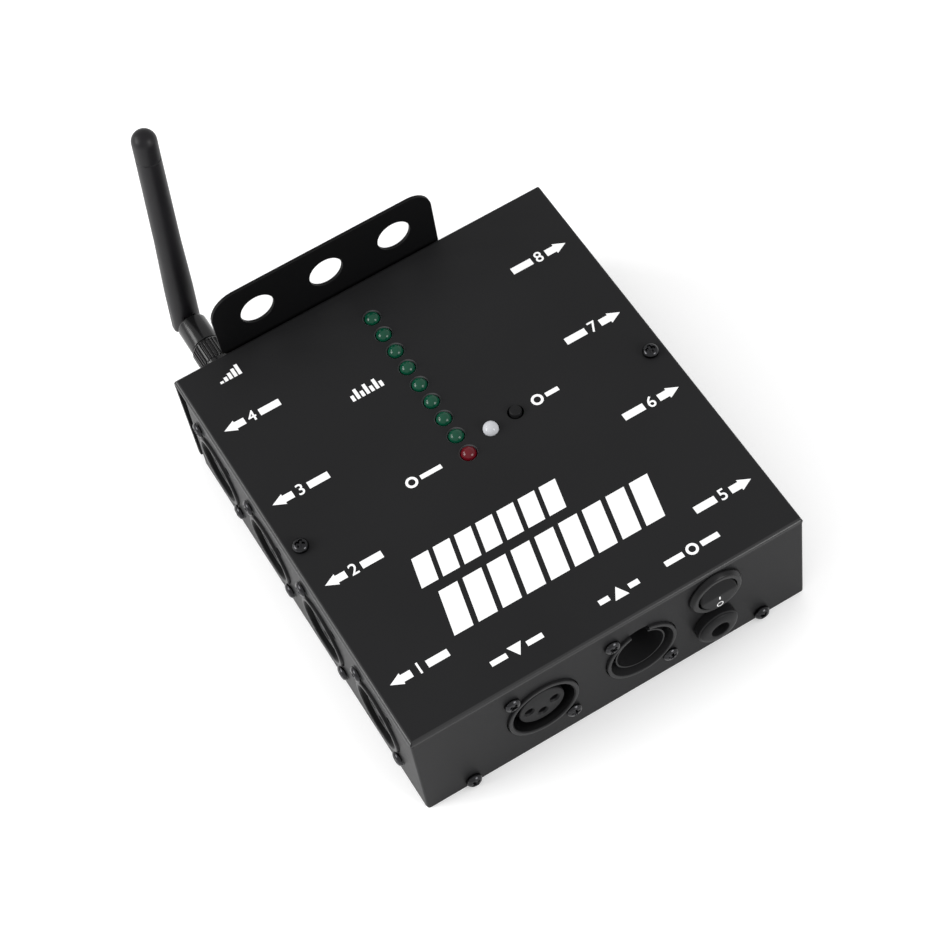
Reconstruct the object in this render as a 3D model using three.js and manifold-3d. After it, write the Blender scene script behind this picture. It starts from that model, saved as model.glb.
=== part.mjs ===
// Stage lighting data splitter: a folded steel case with ten three-pin round
// sockets, a swivelling antenna, a hanging bracket and a row of indicator lamps.
// Millimetres, +Z up. The origin is the centre of the base plate's underside,
// the front wall faces -Y and the antenna stands behind the rear wall at +Y.
import * as THREE from 'three';
import { mergeVertices } from 'three/addons/utils/BufferGeometryUtils.js';
import Module from 'manifold-3d';

const wasm = await Module();
wasm.setup();

// Clearances shared by all pieces
const gap = 0.3;
const overrun = 2;

// Case
const caseWidth = 135;
const caseDepth = 152.3;
const caseHeight = 43;
const sheet = 1.2;
const bendRadius = 2.4;
const cornerRadius = 0.9;
const coverLift = 0.3;
const seamWidth = 0.4;
const returnTabTop = 6.4;
const returnTabFoot = 3.4;
const cornerNotch = 1.7;
const flapCorner = 2;
const rearSlotTop = 8.5;
const rearSlotFoot = 5;
const studRadius = 2.5;
const studSideInset = 29.5;
const studRearInset = 20.15;
const studFrontInset = 34.15;

// Base plate
const baseCorner = 1.5;
const baseFlange = 4.2;
const earWidth = 14;
const earHeight = 9;
const earCorner = 3;
const standoffRelief = 5.5;

// Pan head and countersunk screws
const screwHeadRadius = 2.75;
const screwHeadHeight = 1.9;
const screwHeadEdge = 0.8;
const screwShank = 1.3;
const caseScrewLength = 6;
const lidScrewLength = 8;
const sunkHeadRadius = 2.4;
const sunkHeadHeight = 1;
const caseScrewInset = 16;
const caseScrewZ = 3.2;
const lidScrewInset = 5.2;

// Hexagonal pillars between base plate and lid
const pillarAcross = 5.5;
const pillarBoreDepth = 8;

// Three-pin sockets
const socketRiseShare = 0.5116;
const socketEndInset = 24.4;
const sideSocketCount = 4;
const outSocketShare = -0.1852;
const inSocketShare = 0.0689;
const ringRadius = 12.1;
const ringProud = 1.6;
const ringEdge = 0.5;
const rimRadius = 10.9;
const socketBore = 9.9;
const rimTaper = 3;
const socketBodyRadius = 11.4;
const socketReach = 19;
const flangeWidth = 25.6;
const flangeHeightShare = 0.721;
const flangeThickness = 1.8;
const flangeCorner = 3;
const socketScrewX = 9.5;
const flangeScrewInset = 3.5;
const socketScrewLength = 5;
const noseRadius = 7.8;
const noseSink = 0.4;
const noseEdge = 0.4;
const plugDepth = 13;
const contactRadius = 1.4;
const contactDepth = 8;
const contactFlare = 0.5;
const contactSpread = 4.35;
const contactRise = 1.75;
const contactDrop = 2.55;
const cupRadius = 8.1;
const sleeveRadius = 9.1;
const sleeveGroove = 3.4;
const pinRadius = 1.2;
const pinLength = 9;
const pinTip = 0.4;
const latchWidth = 6.3;
const latchDepth = 5;

// Rocker switch
const switchShare = 0.26444;
const switchRiseShare = 0.7535;
const bezelRadius = 8.5;
const bezelProud = 3;
const bezelEdge = 0.7;
const switchBore = 6.75;
const switchBoreDepth = 8;
const switchBodyRadius = 7.4;
const switchBodyDepth = 13;
const rockerHeight = 3.3;
const rockerDip = 0.8;
const rockerPivot = 0.2;
const trunnionRadius = 1;
const bladeWidth = 4.8;
const bladeThickness = 0.8;
const bladeLength = 7;
const bladeSpacing = 6;
const rockerTilt = 14;

// Power inlet
const inletShare = 0.2585;
const inletDrop = 16.6;
const inletRadius = 7.1;
const inletProud = 4.2;
const inletShoulder = 1.7;
const inletEdge = 0.5;
const inletCrown = 1.1;
const inletBore = 3.1;
const inletBoreDepth = 10;
const inletPinRadius = 1;
const inletPinRecess = 1.5;
const inletBarrel = 5.4;
const inletDepth = 13;
const inletNutAcross = 14;
const inletNutThickness = 2.2;

// Circuit boards
const boardThickness = 1.6;
const boardDrop = 8.4;
const boardRearInset = 10.15;
const boardFrontInset = 26.15;
const boardCorner = 2;
const sideBoardInset = 12.65;
const sideBoardFoot = 8;
const headerWidth = 5;
const headerLength = 30;
const headerHeight = 8;
const chipWidth = 7.5;
const chipLength = 10;
const chipHeight = 1.7;
const driverX = 24;
const processorSize = 7;
const processorX = -20;
const processorInset = 33.15;

// Indicator lamps
const lampRadius = 2.5;
const lampFlange = 2.9;
const lampFlangeHeight = 1;
const lampHoleGap = 0.35;
const signalLampCount = 8;
const lampPitchShare = 0.05003;
const lampRowX = -3.35;
const lampRowY = 0.2;
const lampProud = 1.7;
const pairingLampX = 6.75;
const pairingLampY = 3.85;
const pairingLampProud = 2.5;

// Push button beside the lamps
const buttonX = 16.2;
const buttonY = 4.8;
const buttonRadius = 2;
const buttonProud = 0.5;
const buttonHole = 2.65;
const buttonTravel = 0.3;
const buttonBodySize = 6;
const buttonBodyHeight = 3.6;
const buttonSocketDepth = 2.4;

// Hanging bracket
const bracketOffset = 40.9;
const bracketWidth = 78.6;
const bracketRise = 24.6;
const bracketThickness = 1.5;
const bracketCorner = 7.5;
const bracketFootDrop = 16;
const bracketFootCorner = 3;
const bracketTaper = 2;
const bracketTaperHeight = 12;
const hangingHoleRadius = 6.2;
const hangingHolePitch = 24.8;
const hangingHoleRise = 11.7;
const bracketScrewSpread = 28;
const bracketScrewDrop = 8;

// Antenna
const antennaInset = 16.6;
const antennaDrop = 11;
const jackThread = 3.1;
const jackHexAcross = 8;
const jackHexThickness = 2.8;
const jackReach = 9;
const jackTail = 5;
const jackTailPin = 0.7;
const jackTailPinLength = 2.6;
const couplingRadius = 4.9;
const couplingLength = 11.2;
const couplingKnurl = 0.35;
const couplingTeeth = 24;
const couplingChamfer = 0.6;
const swivelRadius = 4.3;
const swivelNeck = 2.3;
const swivelCollarHeight = 0.9;
const swivelEdge = 0.5;
const tongueWidth = 3.4;
const tongueRadius = 3;
const hingeReach = 29.2;
const hingePinRadius = 0.9;
const whipLength = 86;
const whipFootRadius = 4.8;
const whipFlatWidth = 8.2;
const whipFlatHeight = 10;
const whipTipRadius = 4.05;
const whipMidRadius = 4.25;
const whipMidShare = 0.42;
const whipShoulderShare = 0.16;
const whipShoulderRadius = 4.75;
const capLength = 12;
const capGroove = 0.25;
const antennaLean = 5.5;
const antennaRest = 85.7;

// Radio module behind the antenna jack
const radioWidth = 22;
const radioHeight = 19;
const radioBoard = 1;
const radioCan = 1.8;
const radioCanMargin = 2.5;

// Facets
const bendSteps = 3;
const ringSides = 16;
const noseSides = 12;
const smallSides = 8;
const boreSides = 6;
const lampSides = 8;
const whipSides = 16;
const domeSteps = 3;

// Heights and depths that follow from the sizes above
const frontY = -caseDepth / 2;
const rearY = caseDepth / 2;
const sideX = caseWidth / 2;
const innerX = sideX - sheet;
const innerY = rearY - sheet;
const ceiling = caseHeight - sheet;
const lidScrewX = sideX - lidScrewInset;
const caseScrewX = sideX - caseScrewInset;
const socketZ = caseHeight * socketRiseShare;
const socketPitch = (caseDepth - 2 * socketEndInset) / (sideSocketCount - 1);
const outSocketX = caseWidth * outSocketShare;
const inSocketX = caseWidth * inSocketShare;
const flangeHeight = caseHeight * flangeHeightShare;
const socketScrewZ = flangeHeight / 2 - flangeScrewInset;
const switchX = caseWidth * switchShare;
const switchZ = caseHeight * switchRiseShare;
const inletX = caseWidth * inletShare;
const inletZ = switchZ - inletDrop;
const antennaX = antennaInset - sideX;
const antennaZ = caseHeight - antennaDrop;
const bracketX = antennaX + bracketOffset;
const bracketFoot = caseHeight - bracketFootDrop;
const bracketScrewZ = caseHeight - bracketScrewDrop;
const lampPitch = caseDepth * lampPitchShare;
const studX = sideX - studSideInset;
const studRearY = rearY - studRearInset;
const studFrontY = frontY + studFrontInset;
const mainBoardRear = rearY - boardRearInset;
const mainBoardFront = frontY + boardFrontInset;
const sideBoardRear = rearY - sideBoardInset;
const processorY = rearY - processorInset;
const boardTop = caseHeight - boardDrop;
const boardFoot = boardTop - boardThickness;
const partsFloor = boardTop + gap;
const sideBoardX = sideX - socketReach - gap - boardThickness / 2;

// Finishes
function finish(color, roughness, metalness) {
  return new THREE.MeshStandardMaterial({ color, roughness, metalness });
}
const blackPaint = finish(0x2b2b2d, 0.6, 0.2);
const bracketPaint = finish(0x1b1b1d, 0.65, 0.2);
const blackPlastic = finish(0x222224, 0.5, 0);
const glossPlastic = finish(0x1c1c1e, 0.3, 0);
const rubber = finish(0x2a2a2c, 0.6, 0);
const darkZinc = finish(0x55555a, 0.35, 0.9);
const steel = finish(0xa8a8ac, 0.3, 1);
const gold = finish(0xc8a050, 0.3, 1);
const laminate = finish(0x1f5a34, 0.55, 0);
const greenLens = finish(0x1f5b41, 0.12, 0);
const redLens = finish(0x7a1420, 0.12, 0);
const clearLens = finish(0xd8dadd, 0.15, 0);

// Turns a closed three.js surface into a solid with its faces outwards
function solid(geometry) {
  const bare = geometry.clone();
  bare.deleteAttribute('normal');
  bare.deleteAttribute('uv');
  const merged = mergeVertices(bare);
  const corners = merged.getAttribute('position').array;
  const index = merged.index.array;
  const kept = [];
  let volume = 0;
  const a = new THREE.Vector3();
  const b = new THREE.Vector3();
  const c = new THREE.Vector3();
  for (let i = 0; i < index.length; i += 3) {
    const [p, q, r] = [index[i], index[i + 1], index[i + 2]];
    if (p === q || q === r || r === p) continue;
    kept.push(p, q, r);
    a.fromArray(corners, 3 * p);
    b.fromArray(corners, 3 * q);
    c.fromArray(corners, 3 * r);
    volume += a.dot(b.cross(c));
  }
  if (volume < 0) kept.reverse();
  return new wasm.Manifold(new wasm.Mesh({
    numProp: 3,
    vertProperties: new Float32Array(corners),
    triVerts: new Uint32Array(kept),
  }));
}

function placed(shape, frame) {
  return shape.transform(frame.elements);
}

function union(shapes) {
  return shapes.reduce((whole, shape) => whole.add(shape));
}

// A profile of [radius, height] corners turned round the z axis
function turned(profile, sides) {
  const points = profile.map(([radius, height]) => new THREE.Vector2(radius, height));
  const geometry = new THREE.LatheGeometry(points, sides);
  geometry.rotateX(Math.PI / 2);
  return solid(geometry);
}

// A ring profile closes on itself
function turnedRing(profile, sides) {
  return turned([...profile, profile[0]], sides);
}

// A round bar along z from one height to another
function rod(radius, low, high, sides) {
  return turned([[0, low], [radius, low], [radius, high], [0, high]], sides);
}

// A hexagonal bar along z, flats square to x
function hexagon(across, low, high) {
  const bar = rod(across / Math.sqrt(3), low, high, 6);
  return bar.rotate([0, 0, 90]);
}

// A flat outline given its thickness between two heights
function slab(outline, low, high) {
  const geometry = new THREE.ExtrudeGeometry(outline, {
    depth: high - low,
    bevelEnabled: false,
    curveSegments: bendSteps,
  });
  geometry.translate(0, 0, low);
  return solid(geometry);
}

function block(x0, x1, y0, y1, z0, z1) {
  const geometry = new THREE.BoxGeometry(x1 - x0, y1 - y0, z1 - z0);
  geometry.translate((x0 + x1) / 2, (y0 + y1) / 2, (z0 + z1) / 2);
  return solid(geometry);
}

// A rectangle whose four corners have radii, from the lower left anticlockwise
function roundedOutline(x0, x1, y0, y1, radii) {
  const [r0, r1, r2, r3] = radii;
  const outline = new THREE.Shape();
  outline.moveTo(x0 + r0, y0);
  outline.lineTo(x1 - r1, y0);
  if (r1) outline.absarc(x1 - r1, y0 + r1, r1, -Math.PI / 2, 0);
  outline.lineTo(x1, y1 - r2);
  if (r2) outline.absarc(x1 - r2, y1 - r2, r2, 0, Math.PI / 2);
  outline.lineTo(x0 + r3, y1);
  if (r3) outline.absarc(x0 + r3, y1 - r3, r3, Math.PI / 2, Math.PI);
  outline.lineTo(x0, y0 + r0);
  if (r0) outline.absarc(x0 + r0, y0 + r0, r0, Math.PI, Math.PI * 1.5);
  return outline;
}

// Turning frames: an outline drawn in x and y is carried along another axis
const alongX = new THREE.Matrix4().makeBasis(
  new THREE.Vector3(0, 1, 0),
  new THREE.Vector3(0, 0, 1),
  new THREE.Vector3(1, 0, 0),
);
const alongY = new THREE.Matrix4().makeBasis(
  new THREE.Vector3(1, 0, 0),
  new THREE.Vector3(0, 0, 1),
  new THREE.Vector3(0, -1, 0),
);

// Wall frames: z points out of the wall, y is up, the origin is on its outside
function wallFrame(out, up, x, y, z) {
  const right = new THREE.Vector3().crossVectors(up, out);
  return new THREE.Matrix4().makeBasis(right, up, out).setPosition(x, y, z);
}
const upward = new THREE.Vector3(0, 0, 1);
const rearward = new THREE.Vector3(0, 1, 0);
const onFront = (x, z) => wallFrame(new THREE.Vector3(0, -1, 0), upward, x, frontY, z);
const onRear = (x, z) => wallFrame(rearward, upward, x, rearY, z);
const onLeft = (y, z) => wallFrame(new THREE.Vector3(-1, 0, 0), upward, -sideX, y, z);
const onRight = (y, z) => wallFrame(new THREE.Vector3(1, 0, 0), upward, sideX, y, z);
const onTop = (x, y) => wallFrame(upward, rearward, x, y, caseHeight);
const underBase = (x, y) => wallFrame(new THREE.Vector3(0, 0, -1), rearward, x, y, 0);

// Where things stand on the case
const sideSocketY = Array.from(
  { length: sideSocketCount },
  (unused, i) => (i - (sideSocketCount - 1) / 2) * socketPitch,
);
const femaleFrames = [
  ['thru', onFront(outSocketX, socketZ)],
  ...sideSocketY.map((y, i) => [`out_${i + 1}`, onLeft(y, socketZ)]),
  ...sideSocketY.map((y, i) => [`out_${i + 1 + sideSocketCount}`, onRight(y, socketZ)]),
];
const maleFrame = onFront(inSocketX, socketZ);
const socketFrames = [...femaleFrames.map(([, frame]) => frame), maleFrame];
const switchFrame = onFront(switchX, switchZ);
const inletFrame = onFront(inletX, inletZ);
const lampPlaces = Array.from(
  { length: signalLampCount + 1 },
  (unused, i) => [lampRowX, lampRowY + i * lampPitch],
);
const caseScrewFrames = [
  ['front_left_screw', onFront(-caseScrewX, caseScrewZ)],
  ['front_right_screw', onFront(caseScrewX, caseScrewZ)],
  ['rear_left_screw', onRear(-caseScrewX, caseScrewZ)],
  ['rear_right_screw', onRear(caseScrewX, caseScrewZ)],
];
const bracketScrewFrames = [
  ['bracket_left_screw', bracketX - bracketScrewSpread],
  ['bracket_right_screw', bracketX + bracketScrewSpread],
].map(([name, x]) => [name, onRear(x, bracketScrewZ)]);
const socketScrewPlaces = [
  [-socketScrewX, socketScrewZ],
  [socketScrewX, -socketScrewZ],
];
const contactPlaces = [
  [-contactSpread, contactRise],
  [contactSpread, contactRise],
  [0, -contactDrop],
];
const jackFrame = onRear(antennaX, antennaZ);

const part = new THREE.Group();

function addPiece(name, shape, material, frame) {
  const mesh = shape.getMesh();
  const geometry = new THREE.BufferGeometry();
  geometry.setAttribute('position', new THREE.BufferAttribute(mesh.vertProperties, 3));
  geometry.setIndex(new THREE.BufferAttribute(mesh.triVerts, 1));
  geometry.computeVertexNormals();
  const piece = new THREE.Mesh(geometry, material);
  piece.name = name;
  if (frame) piece.applyMatrix4(frame);
  part.add(piece);
}

// A pan head screw whose head starts the given height above its frame
function panScrew(seat, length, sides) {
  const top = seat + screwHeadHeight;
  return turned([
    [0, -length],
    [screwShank, -length],
    [screwShank, seat],
    [screwHeadRadius, seat],
    [screwHeadRadius, seat + screwHeadHeight - screwHeadEdge],
    [screwHeadRadius - screwHeadEdge, top],
    [0, top],
  ], sides);
}

// A block with the case's folded edges, drawn in by a distance on all its walls
function caseBlock(inset, foot) {
  const bend = bendRadius - inset;
  const corner = Math.max(cornerRadius - inset, 0);
  const x = sideX - inset;
  const y = rearY - inset;
  const top = caseHeight - inset;
  const across = slab(roundedOutline(-x, x, foot, top, [0, 0, bend, bend]), -y, y);
  const along = slab(roundedOutline(-y, y, foot, top, [0, 0, bend, bend]), -x, x);
  const plan = slab(roundedOutline(-x, x, -y, y, [corner, corner, 0, 0]), foot, top);
  return placed(across, alongY).intersect(placed(along, alongX)).intersect(plan);
}

// Openings between the folded flaps at the case's vertical corners
function cornerOpenings() {
  const openings = [];
  const bendFoot = caseHeight - bendRadius;
  const seamTop = frontY + returnTabTop;
  const seamFoot = frontY + returnTabFoot;
  const wide = sideX + overrun;
  const seam = new THREE.Shape();
  seam.moveTo(seamFoot, 0);
  seam.lineTo(seamFoot + seamWidth, 0);
  seam.lineTo(seamTop + seamWidth, bendFoot);
  seam.lineTo(seamTop, bendFoot);
  openings.push(placed(slab(seam, -wide, wide), alongX));
  openings.push(block(-wide, wide, frontY + sheet, seamTop + seamWidth,
    bendFoot - seamWidth, bendFoot));
  const slot = new THREE.Shape();
  slot.moveTo(innerY - rearSlotFoot, -overrun);
  slot.lineTo(innerY, -overrun);
  slot.lineTo(innerY, bendFoot);
  slot.lineTo(innerY - rearSlotTop, bendFoot);
  openings.push(placed(slab(slot, -wide, wide), alongX));
  for (const side of [-1, 1]) {
    for (const end of [-1, 1]) {
      const x = side * sideX;
      const y = end * rearY;
      openings.push(block(x - cornerNotch, x + cornerNotch, y - cornerNotch,
        y + cornerNotch, bendFoot - cornerNotch, bendFoot + cornerNotch / 2));
      openings.push(flapCornerCut(side, end));
    }
  }
  return union(openings);
}

// What rounds off a lower corner of the front or rear flap
function flapCornerCut(side, end) {
  const outline = new THREE.Shape();
  const foot = coverLift - overrun;
  const x = side * sideX;
  const centreX = x - side * flapCorner;
  const centreZ = coverLift + flapCorner;
  outline.moveTo(x + side * overrun, foot);
  outline.lineTo(centreX, foot);
  outline.lineTo(centreX, coverLift);
  for (let i = 1; i <= bendSteps; i += 1) {
    const turn = (Math.PI / 2) * (i / bendSteps);
    outline.lineTo(
      centreX + side * flapCorner * Math.sin(turn),
      centreZ - flapCorner * Math.cos(turn),
    );
  }
  outline.lineTo(x + side * overrun, centreZ);
  const y = end * rearY;
  return placed(slab(outline, -y - sheet, -y + sheet), alongY);
}

function topCover() {
  let cover = caseBlock(0, coverLift).subtract(caseBlock(sheet, -overrun));
  cover = cover.subtract(cornerOpenings());
  for (const x of [-studX, studX]) {
    for (const y of [studFrontY, studRearY]) {
      const stud = rod(studRadius, partsFloor, ceiling + sheet / 2, boreSides);
      cover = cover.add(stud.translate([x, y, 0]));
    }
  }
  const drill = (radius, sides) => rod(radius, -sheet - overrun, overrun, sides);
  const screwHole = drill(screwShank + gap, boreSides);
  const cuts = [];
  for (const frame of socketFrames) {
    cuts.push(placed(drill(ringRadius + gap, ringSides), frame));
    for (const [x, y] of socketScrewPlaces) {
      cuts.push(placed(screwHole.translate([x, y, 0]), frame));
    }
  }
  cuts.push(placed(drill(switchBodyRadius + gap, ringSides), switchFrame));
  cuts.push(placed(drill(inletBarrel + gap, ringSides), inletFrame));
  cuts.push(placed(drill(jackThread + gap, noseSides), jackFrame));
  const lampHole = drill(lampRadius + lampHoleGap, lampSides);
  for (const [x, y] of [...lampPlaces, [pairingLampX, pairingLampY]]) {
    cuts.push(placed(lampHole, onTop(x, y)));
  }
  cuts.push(placed(drill(buttonHole, lampSides), onTop(buttonX, buttonY)));
  for (const [, frame] of [...caseScrewFrames, ...bracketScrewFrames]) {
    cuts.push(placed(screwHole, frame));
  }
  for (const x of [-lidScrewX, lidScrewX]) cuts.push(placed(screwHole, onTop(x, 0)));
  return cover.subtract(union(cuts));
}

// The base plate: low side flanges and four upturned ears for the case screws
function basePlate() {
  const x = innerX - gap;
  const y = innerY - gap;
  const inner = x - sheet;
  const outer = slab(roundedOutline(-x, x, 0, baseFlange, [baseCorner, baseCorner, 0, 0]),
    -y, y);
  const hollow = slab(roundedOutline(-inner, inner, sheet, baseFlange + overrun,
    [gap, gap, 0, 0]), -y - overrun, y + overrun);
  let plate = placed(outer.subtract(hollow), alongY);
  const ear = roundedOutline(-earWidth / 2, earWidth / 2, 0, earHeight,
    [0, 0, earCorner, earCorner]);
  for (const ends of [-1, 1]) {
    const rim = ends * (y - sheet / 2);
    for (const earX of [-caseScrewX, caseScrewX]) {
      const tab = placed(slab(ear, -sheet / 2, sheet / 2), alongY);
      plate = plate.add(tab.translate([earX, rim, 0]));
    }
  }
  const relief = block(-x - overrun, x + overrun, -standoffRelief, standoffRelief,
    sheet, baseFlange + overrun);
  plate = plate.subtract(relief);
  const hole = rod(screwShank + gap, -sheet * 3, overrun, boreSides);
  for (const [, frame] of caseScrewFrames) plate = plate.subtract(placed(hole, frame));
  const sunk = turned([
    [0, -sheet - overrun],
    [screwShank + gap, -sheet - overrun],
    [screwShank + gap, -sheet],
    [sunkHeadRadius + gap, 0],
    [sunkHeadRadius + gap, overrun],
    [0, overrun],
  ], smallSides);
  for (const pillarX of [-lidScrewX, lidScrewX]) {
    plate = plate.subtract(placed(sunk, underBase(pillarX, 0)));
  }
  return plate;
}

function sunkScrew() {
  return turned([
    [0, -lidScrewLength],
    [screwShank, -lidScrewLength],
    [screwShank, -sheet],
    [sunkHeadRadius, -sheet + sunkHeadHeight],
    [0, -sheet + sunkHeadHeight],
  ], smallSides);
}

function pillar() {
  const foot = sheet + gap;
  const head = ceiling - gap;
  const bar = hexagon(pillarAcross, foot, head).rotate([0, 0, 90]);
  const bore = screwShank + gap;
  return bar
    .subtract(rod(bore, foot - overrun, foot + pillarBoreDepth, boreSides))
    .subtract(rod(bore, head - pillarBoreDepth, head + overrun, boreSides));
}

// The plate plan of a socket's fixing flange
function flangePlate() {
  const x = flangeWidth / 2;
  const y = flangeHeight / 2;
  const outline = roundedOutline(-x, x, -y, y, Array(4).fill(flangeCorner));
  const front = -sheet - gap;
  return slab(outline, front - flangeThickness, front);
}

// A socket's shell with its flange and its two fixing screws
function socketShell(inside) {
  const seat = -sheet - gap - flangeThickness / 2;
  const shell = turnedRing([
    [socketBore, -socketReach],
    [socketBodyRadius, -socketReach],
    [socketBodyRadius, seat],
    [ringRadius, seat],
    [ringRadius, ringProud - ringEdge],
    [ringRadius - ringEdge, ringProud],
    ...inside,
  ], ringSides);
  const bore = rod(socketBore + ringEdge, -socketReach - overrun, overrun, ringSides);
  const plate = flangePlate().subtract(bore);
  const screws = socketScrewPlaces.map(
    ([x, y]) => panScrew(gap, socketScrewLength, smallSides).translate([x, y, 0]),
  );
  return union([shell, plate, ...screws]);
}

function femaleShell() {
  return socketShell([
    [rimRadius, ringProud],
    [socketBore, ringProud - rimTaper],
  ]);
}

// The male shell: a sleeve stands inside the rim, and a latch notch opens its top
function maleShell() {
  const grooveFoot = -noseSink - sleeveGroove;
  const shell = socketShell([
    [rimRadius, ringProud],
    [socketBore + ringEdge, grooveFoot],
    [sleeveRadius, grooveFoot],
    [sleeveRadius, -noseSink],
    [cupRadius, -noseSink],
    [cupRadius, -plugDepth + gap],
    [socketBore, -plugDepth + gap],
  ]);
  const notch = block(-latchWidth / 2, latchWidth / 2, noseRadius,
    ringRadius + gap, -latchDepth, ringProud + overrun);
  return shell.subtract(notch);
}

// The insulator of a female socket, with its three contact holes
function femaleInsert() {
  const body = turned([
    [0, -socketReach],
    [socketBore - gap, -socketReach],
    [socketBore - gap, -plugDepth],
    [noseRadius, -plugDepth],
    [noseRadius, -noseSink - noseEdge],
    [noseRadius - noseEdge, -noseSink],
    [0, -noseSink],
  ], noseSides);
  const hole = turned([
    [0, -contactDepth],
    [contactRadius, -contactDepth],
    [contactRadius, -noseSink - contactFlare],
    [contactRadius + contactFlare, -noseSink],
    [contactRadius + contactFlare, overrun],
    [0, overrun],
  ], boreSides);
  const holes = contactPlaces.map(([x, y]) => hole.translate([x, y, 0]));
  return body.subtract(union(holes));
}

// The insulator of the male socket, with its three pins
function maleInsert() {
  const floor = rod(socketBore - gap, -socketReach, -plugDepth, noseSides);
  const tip = pinLength - plugDepth;
  const pin = turned([
    [0, -plugDepth - gap],
    [pinRadius, -plugDepth - gap],
    [pinRadius, tip - pinTip],
    [pinRadius - pinTip, tip],
    [0, tip],
  ], smallSides);
  return union([floor, ...contactPlaces.map(([x, y]) => pin.translate([x, y, 0]))]);
}

function switchHousing() {
  const body = turned([
    [0, -switchBodyDepth],
    [switchBodyRadius, -switchBodyDepth],
    [switchBodyRadius, gap],
    [bezelRadius, gap],
    [bezelRadius, bezelProud - bezelEdge],
    [bezelRadius - bezelEdge / 3, bezelProud - bezelEdge / 3],
    [bezelRadius - bezelEdge, bezelProud],
    [switchBore + bezelEdge / 2, bezelProud],
    [switchBore, bezelProud - bezelEdge / 2],
    [switchBore, -switchBoreDepth],
    [0, -switchBoreDepth],
  ], ringSides);
  const reach = switchBodyRadius + gap;
  const bearing = placed(rod(trunnionRadius + gap, -reach, reach, smallSides), alongX);
  const blades = [-1, 1].map((side) => {
    const y = side * bladeSpacing / 2;
    return block(-bladeWidth / 2, bladeWidth / 2, y - bladeThickness / 2,
      y + bladeThickness / 2, -switchBodyDepth - bladeLength, -switchBodyDepth + gap);
  });
  return union([body.subtract(acrossSwitch(bearing)), ...blades]);
}

// Turns a bar along the case's x axis into one through the rocker's pivot
function acrossSwitch(bar) {
  return bar.translate([0, 0, rockerPivot]);
}

// The rocker is a drum round its pivot, trimmed so that it clears the round
// opening at both ends of its swing, with two faces that dip to the middle;
// it rests with its upper half pressed in
function rocker() {
  const radius = switchBore - gap;
  const drum = placed(rod(radius, -radius, radius, ringSides), alongX);
  const trim = rod(radius, -radius - overrun, radius + overrun, ringSides);
  const cut = new THREE.Shape();
  const edge = rockerHeight - rockerPivot;
  const dip = edge - rockerDip;
  cut.moveTo(-radius - gap, edge);
  cut.lineTo(0, dip);
  cut.lineTo(radius + gap, edge);
  cut.lineTo(radius + gap, radius + overrun);
  cut.lineTo(-radius - gap, radius + overrun);
  const dish = placed(slab(cut, -radius - overrun, radius + overrun), alongX);
  const reach = switchBodyRadius - gap;
  const trunnion = placed(rod(trunnionRadius, -reach, reach, smallSides), alongX);
  const paddle = drum
    .intersect(trim.rotate([rockerTilt, 0, 0]))
    .intersect(trim.rotate([-rockerTilt, 0, 0]))
    .subtract(dish)
    .add(trunnion);
  return acrossSwitch(paddle.rotate([-rockerTilt, 0, 0]));
}

// The power inlet: its domed face rises in a quarter ellipse from the flange's
// shoulder to a flat crown round the opening
function inlet() {
  const crown = inletBore + inletCrown;
  const dome = Array.from({ length: domeSteps + 1 }, (unused, i) => {
    const turn = (Math.PI / 2) * (i / domeSteps);
    return [
      crown + (inletRadius - inletEdge - crown) * Math.cos(turn),
      inletShoulder + (inletProud - inletShoulder) * Math.sin(turn),
    ];
  });
  const body = turned([
    [0, -inletDepth],
    [inletBarrel, -inletDepth],
    [inletBarrel, gap],
    [inletRadius, gap],
    [inletRadius, inletShoulder - inletEdge],
    ...dome,
    [inletBore, inletProud],
    [inletBore, inletProud - inletBoreDepth],
    [0, inletProud - inletBoreDepth],
  ], ringSides);
  const pin = rod(inletPinRadius, inletProud - inletBoreDepth - gap,
    inletProud - inletPinRecess, smallSides);
  return body.add(pin);
}

function inletNut() {
  const front = -sheet - gap;
  return hexagon(inletNutAcross, front - inletNutThickness, front)
    .subtract(rod(inletBarrel + gap, front - inletNutThickness - overrun, overrun, ringSides));
}

// A lamp with a domed lens standing on the main board
function lamp(proud) {
  const shoulder = caseHeight + proud - lampRadius;
  const dome = Array.from({ length: domeSteps + 1 }, (unused, i) => {
    const turn = (Math.PI / 2) * (i / domeSteps);
    return [lampRadius * Math.cos(turn), shoulder + lampRadius * Math.sin(turn)];
  });
  dome[domeSteps][0] = 0;
  return turned([
    [0, partsFloor],
    [lampFlange, partsFloor],
    [lampFlange, partsFloor + lampFlangeHeight],
    [lampRadius, partsFloor + lampFlangeHeight],
    ...dome,
  ], lampSides);
}

function buttonBody() {
  const half = buttonBodySize / 2;
  const top = partsFloor + buttonBodyHeight;
  return block(-half, half, -half, half, partsFloor, top)
    .subtract(rod(buttonRadius + gap, top - buttonSocketDepth, top + overrun, lampSides));
}

function buttonCap() {
  const foot = partsFloor + buttonBodyHeight - buttonSocketDepth + buttonTravel + gap;
  const top = caseHeight + buttonProud;
  return turned([
    [0, foot],
    [buttonRadius, foot],
    [buttonRadius, top - gap],
    [buttonRadius - gap, top],
    [0, top],
  ], lampSides);
}

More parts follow.
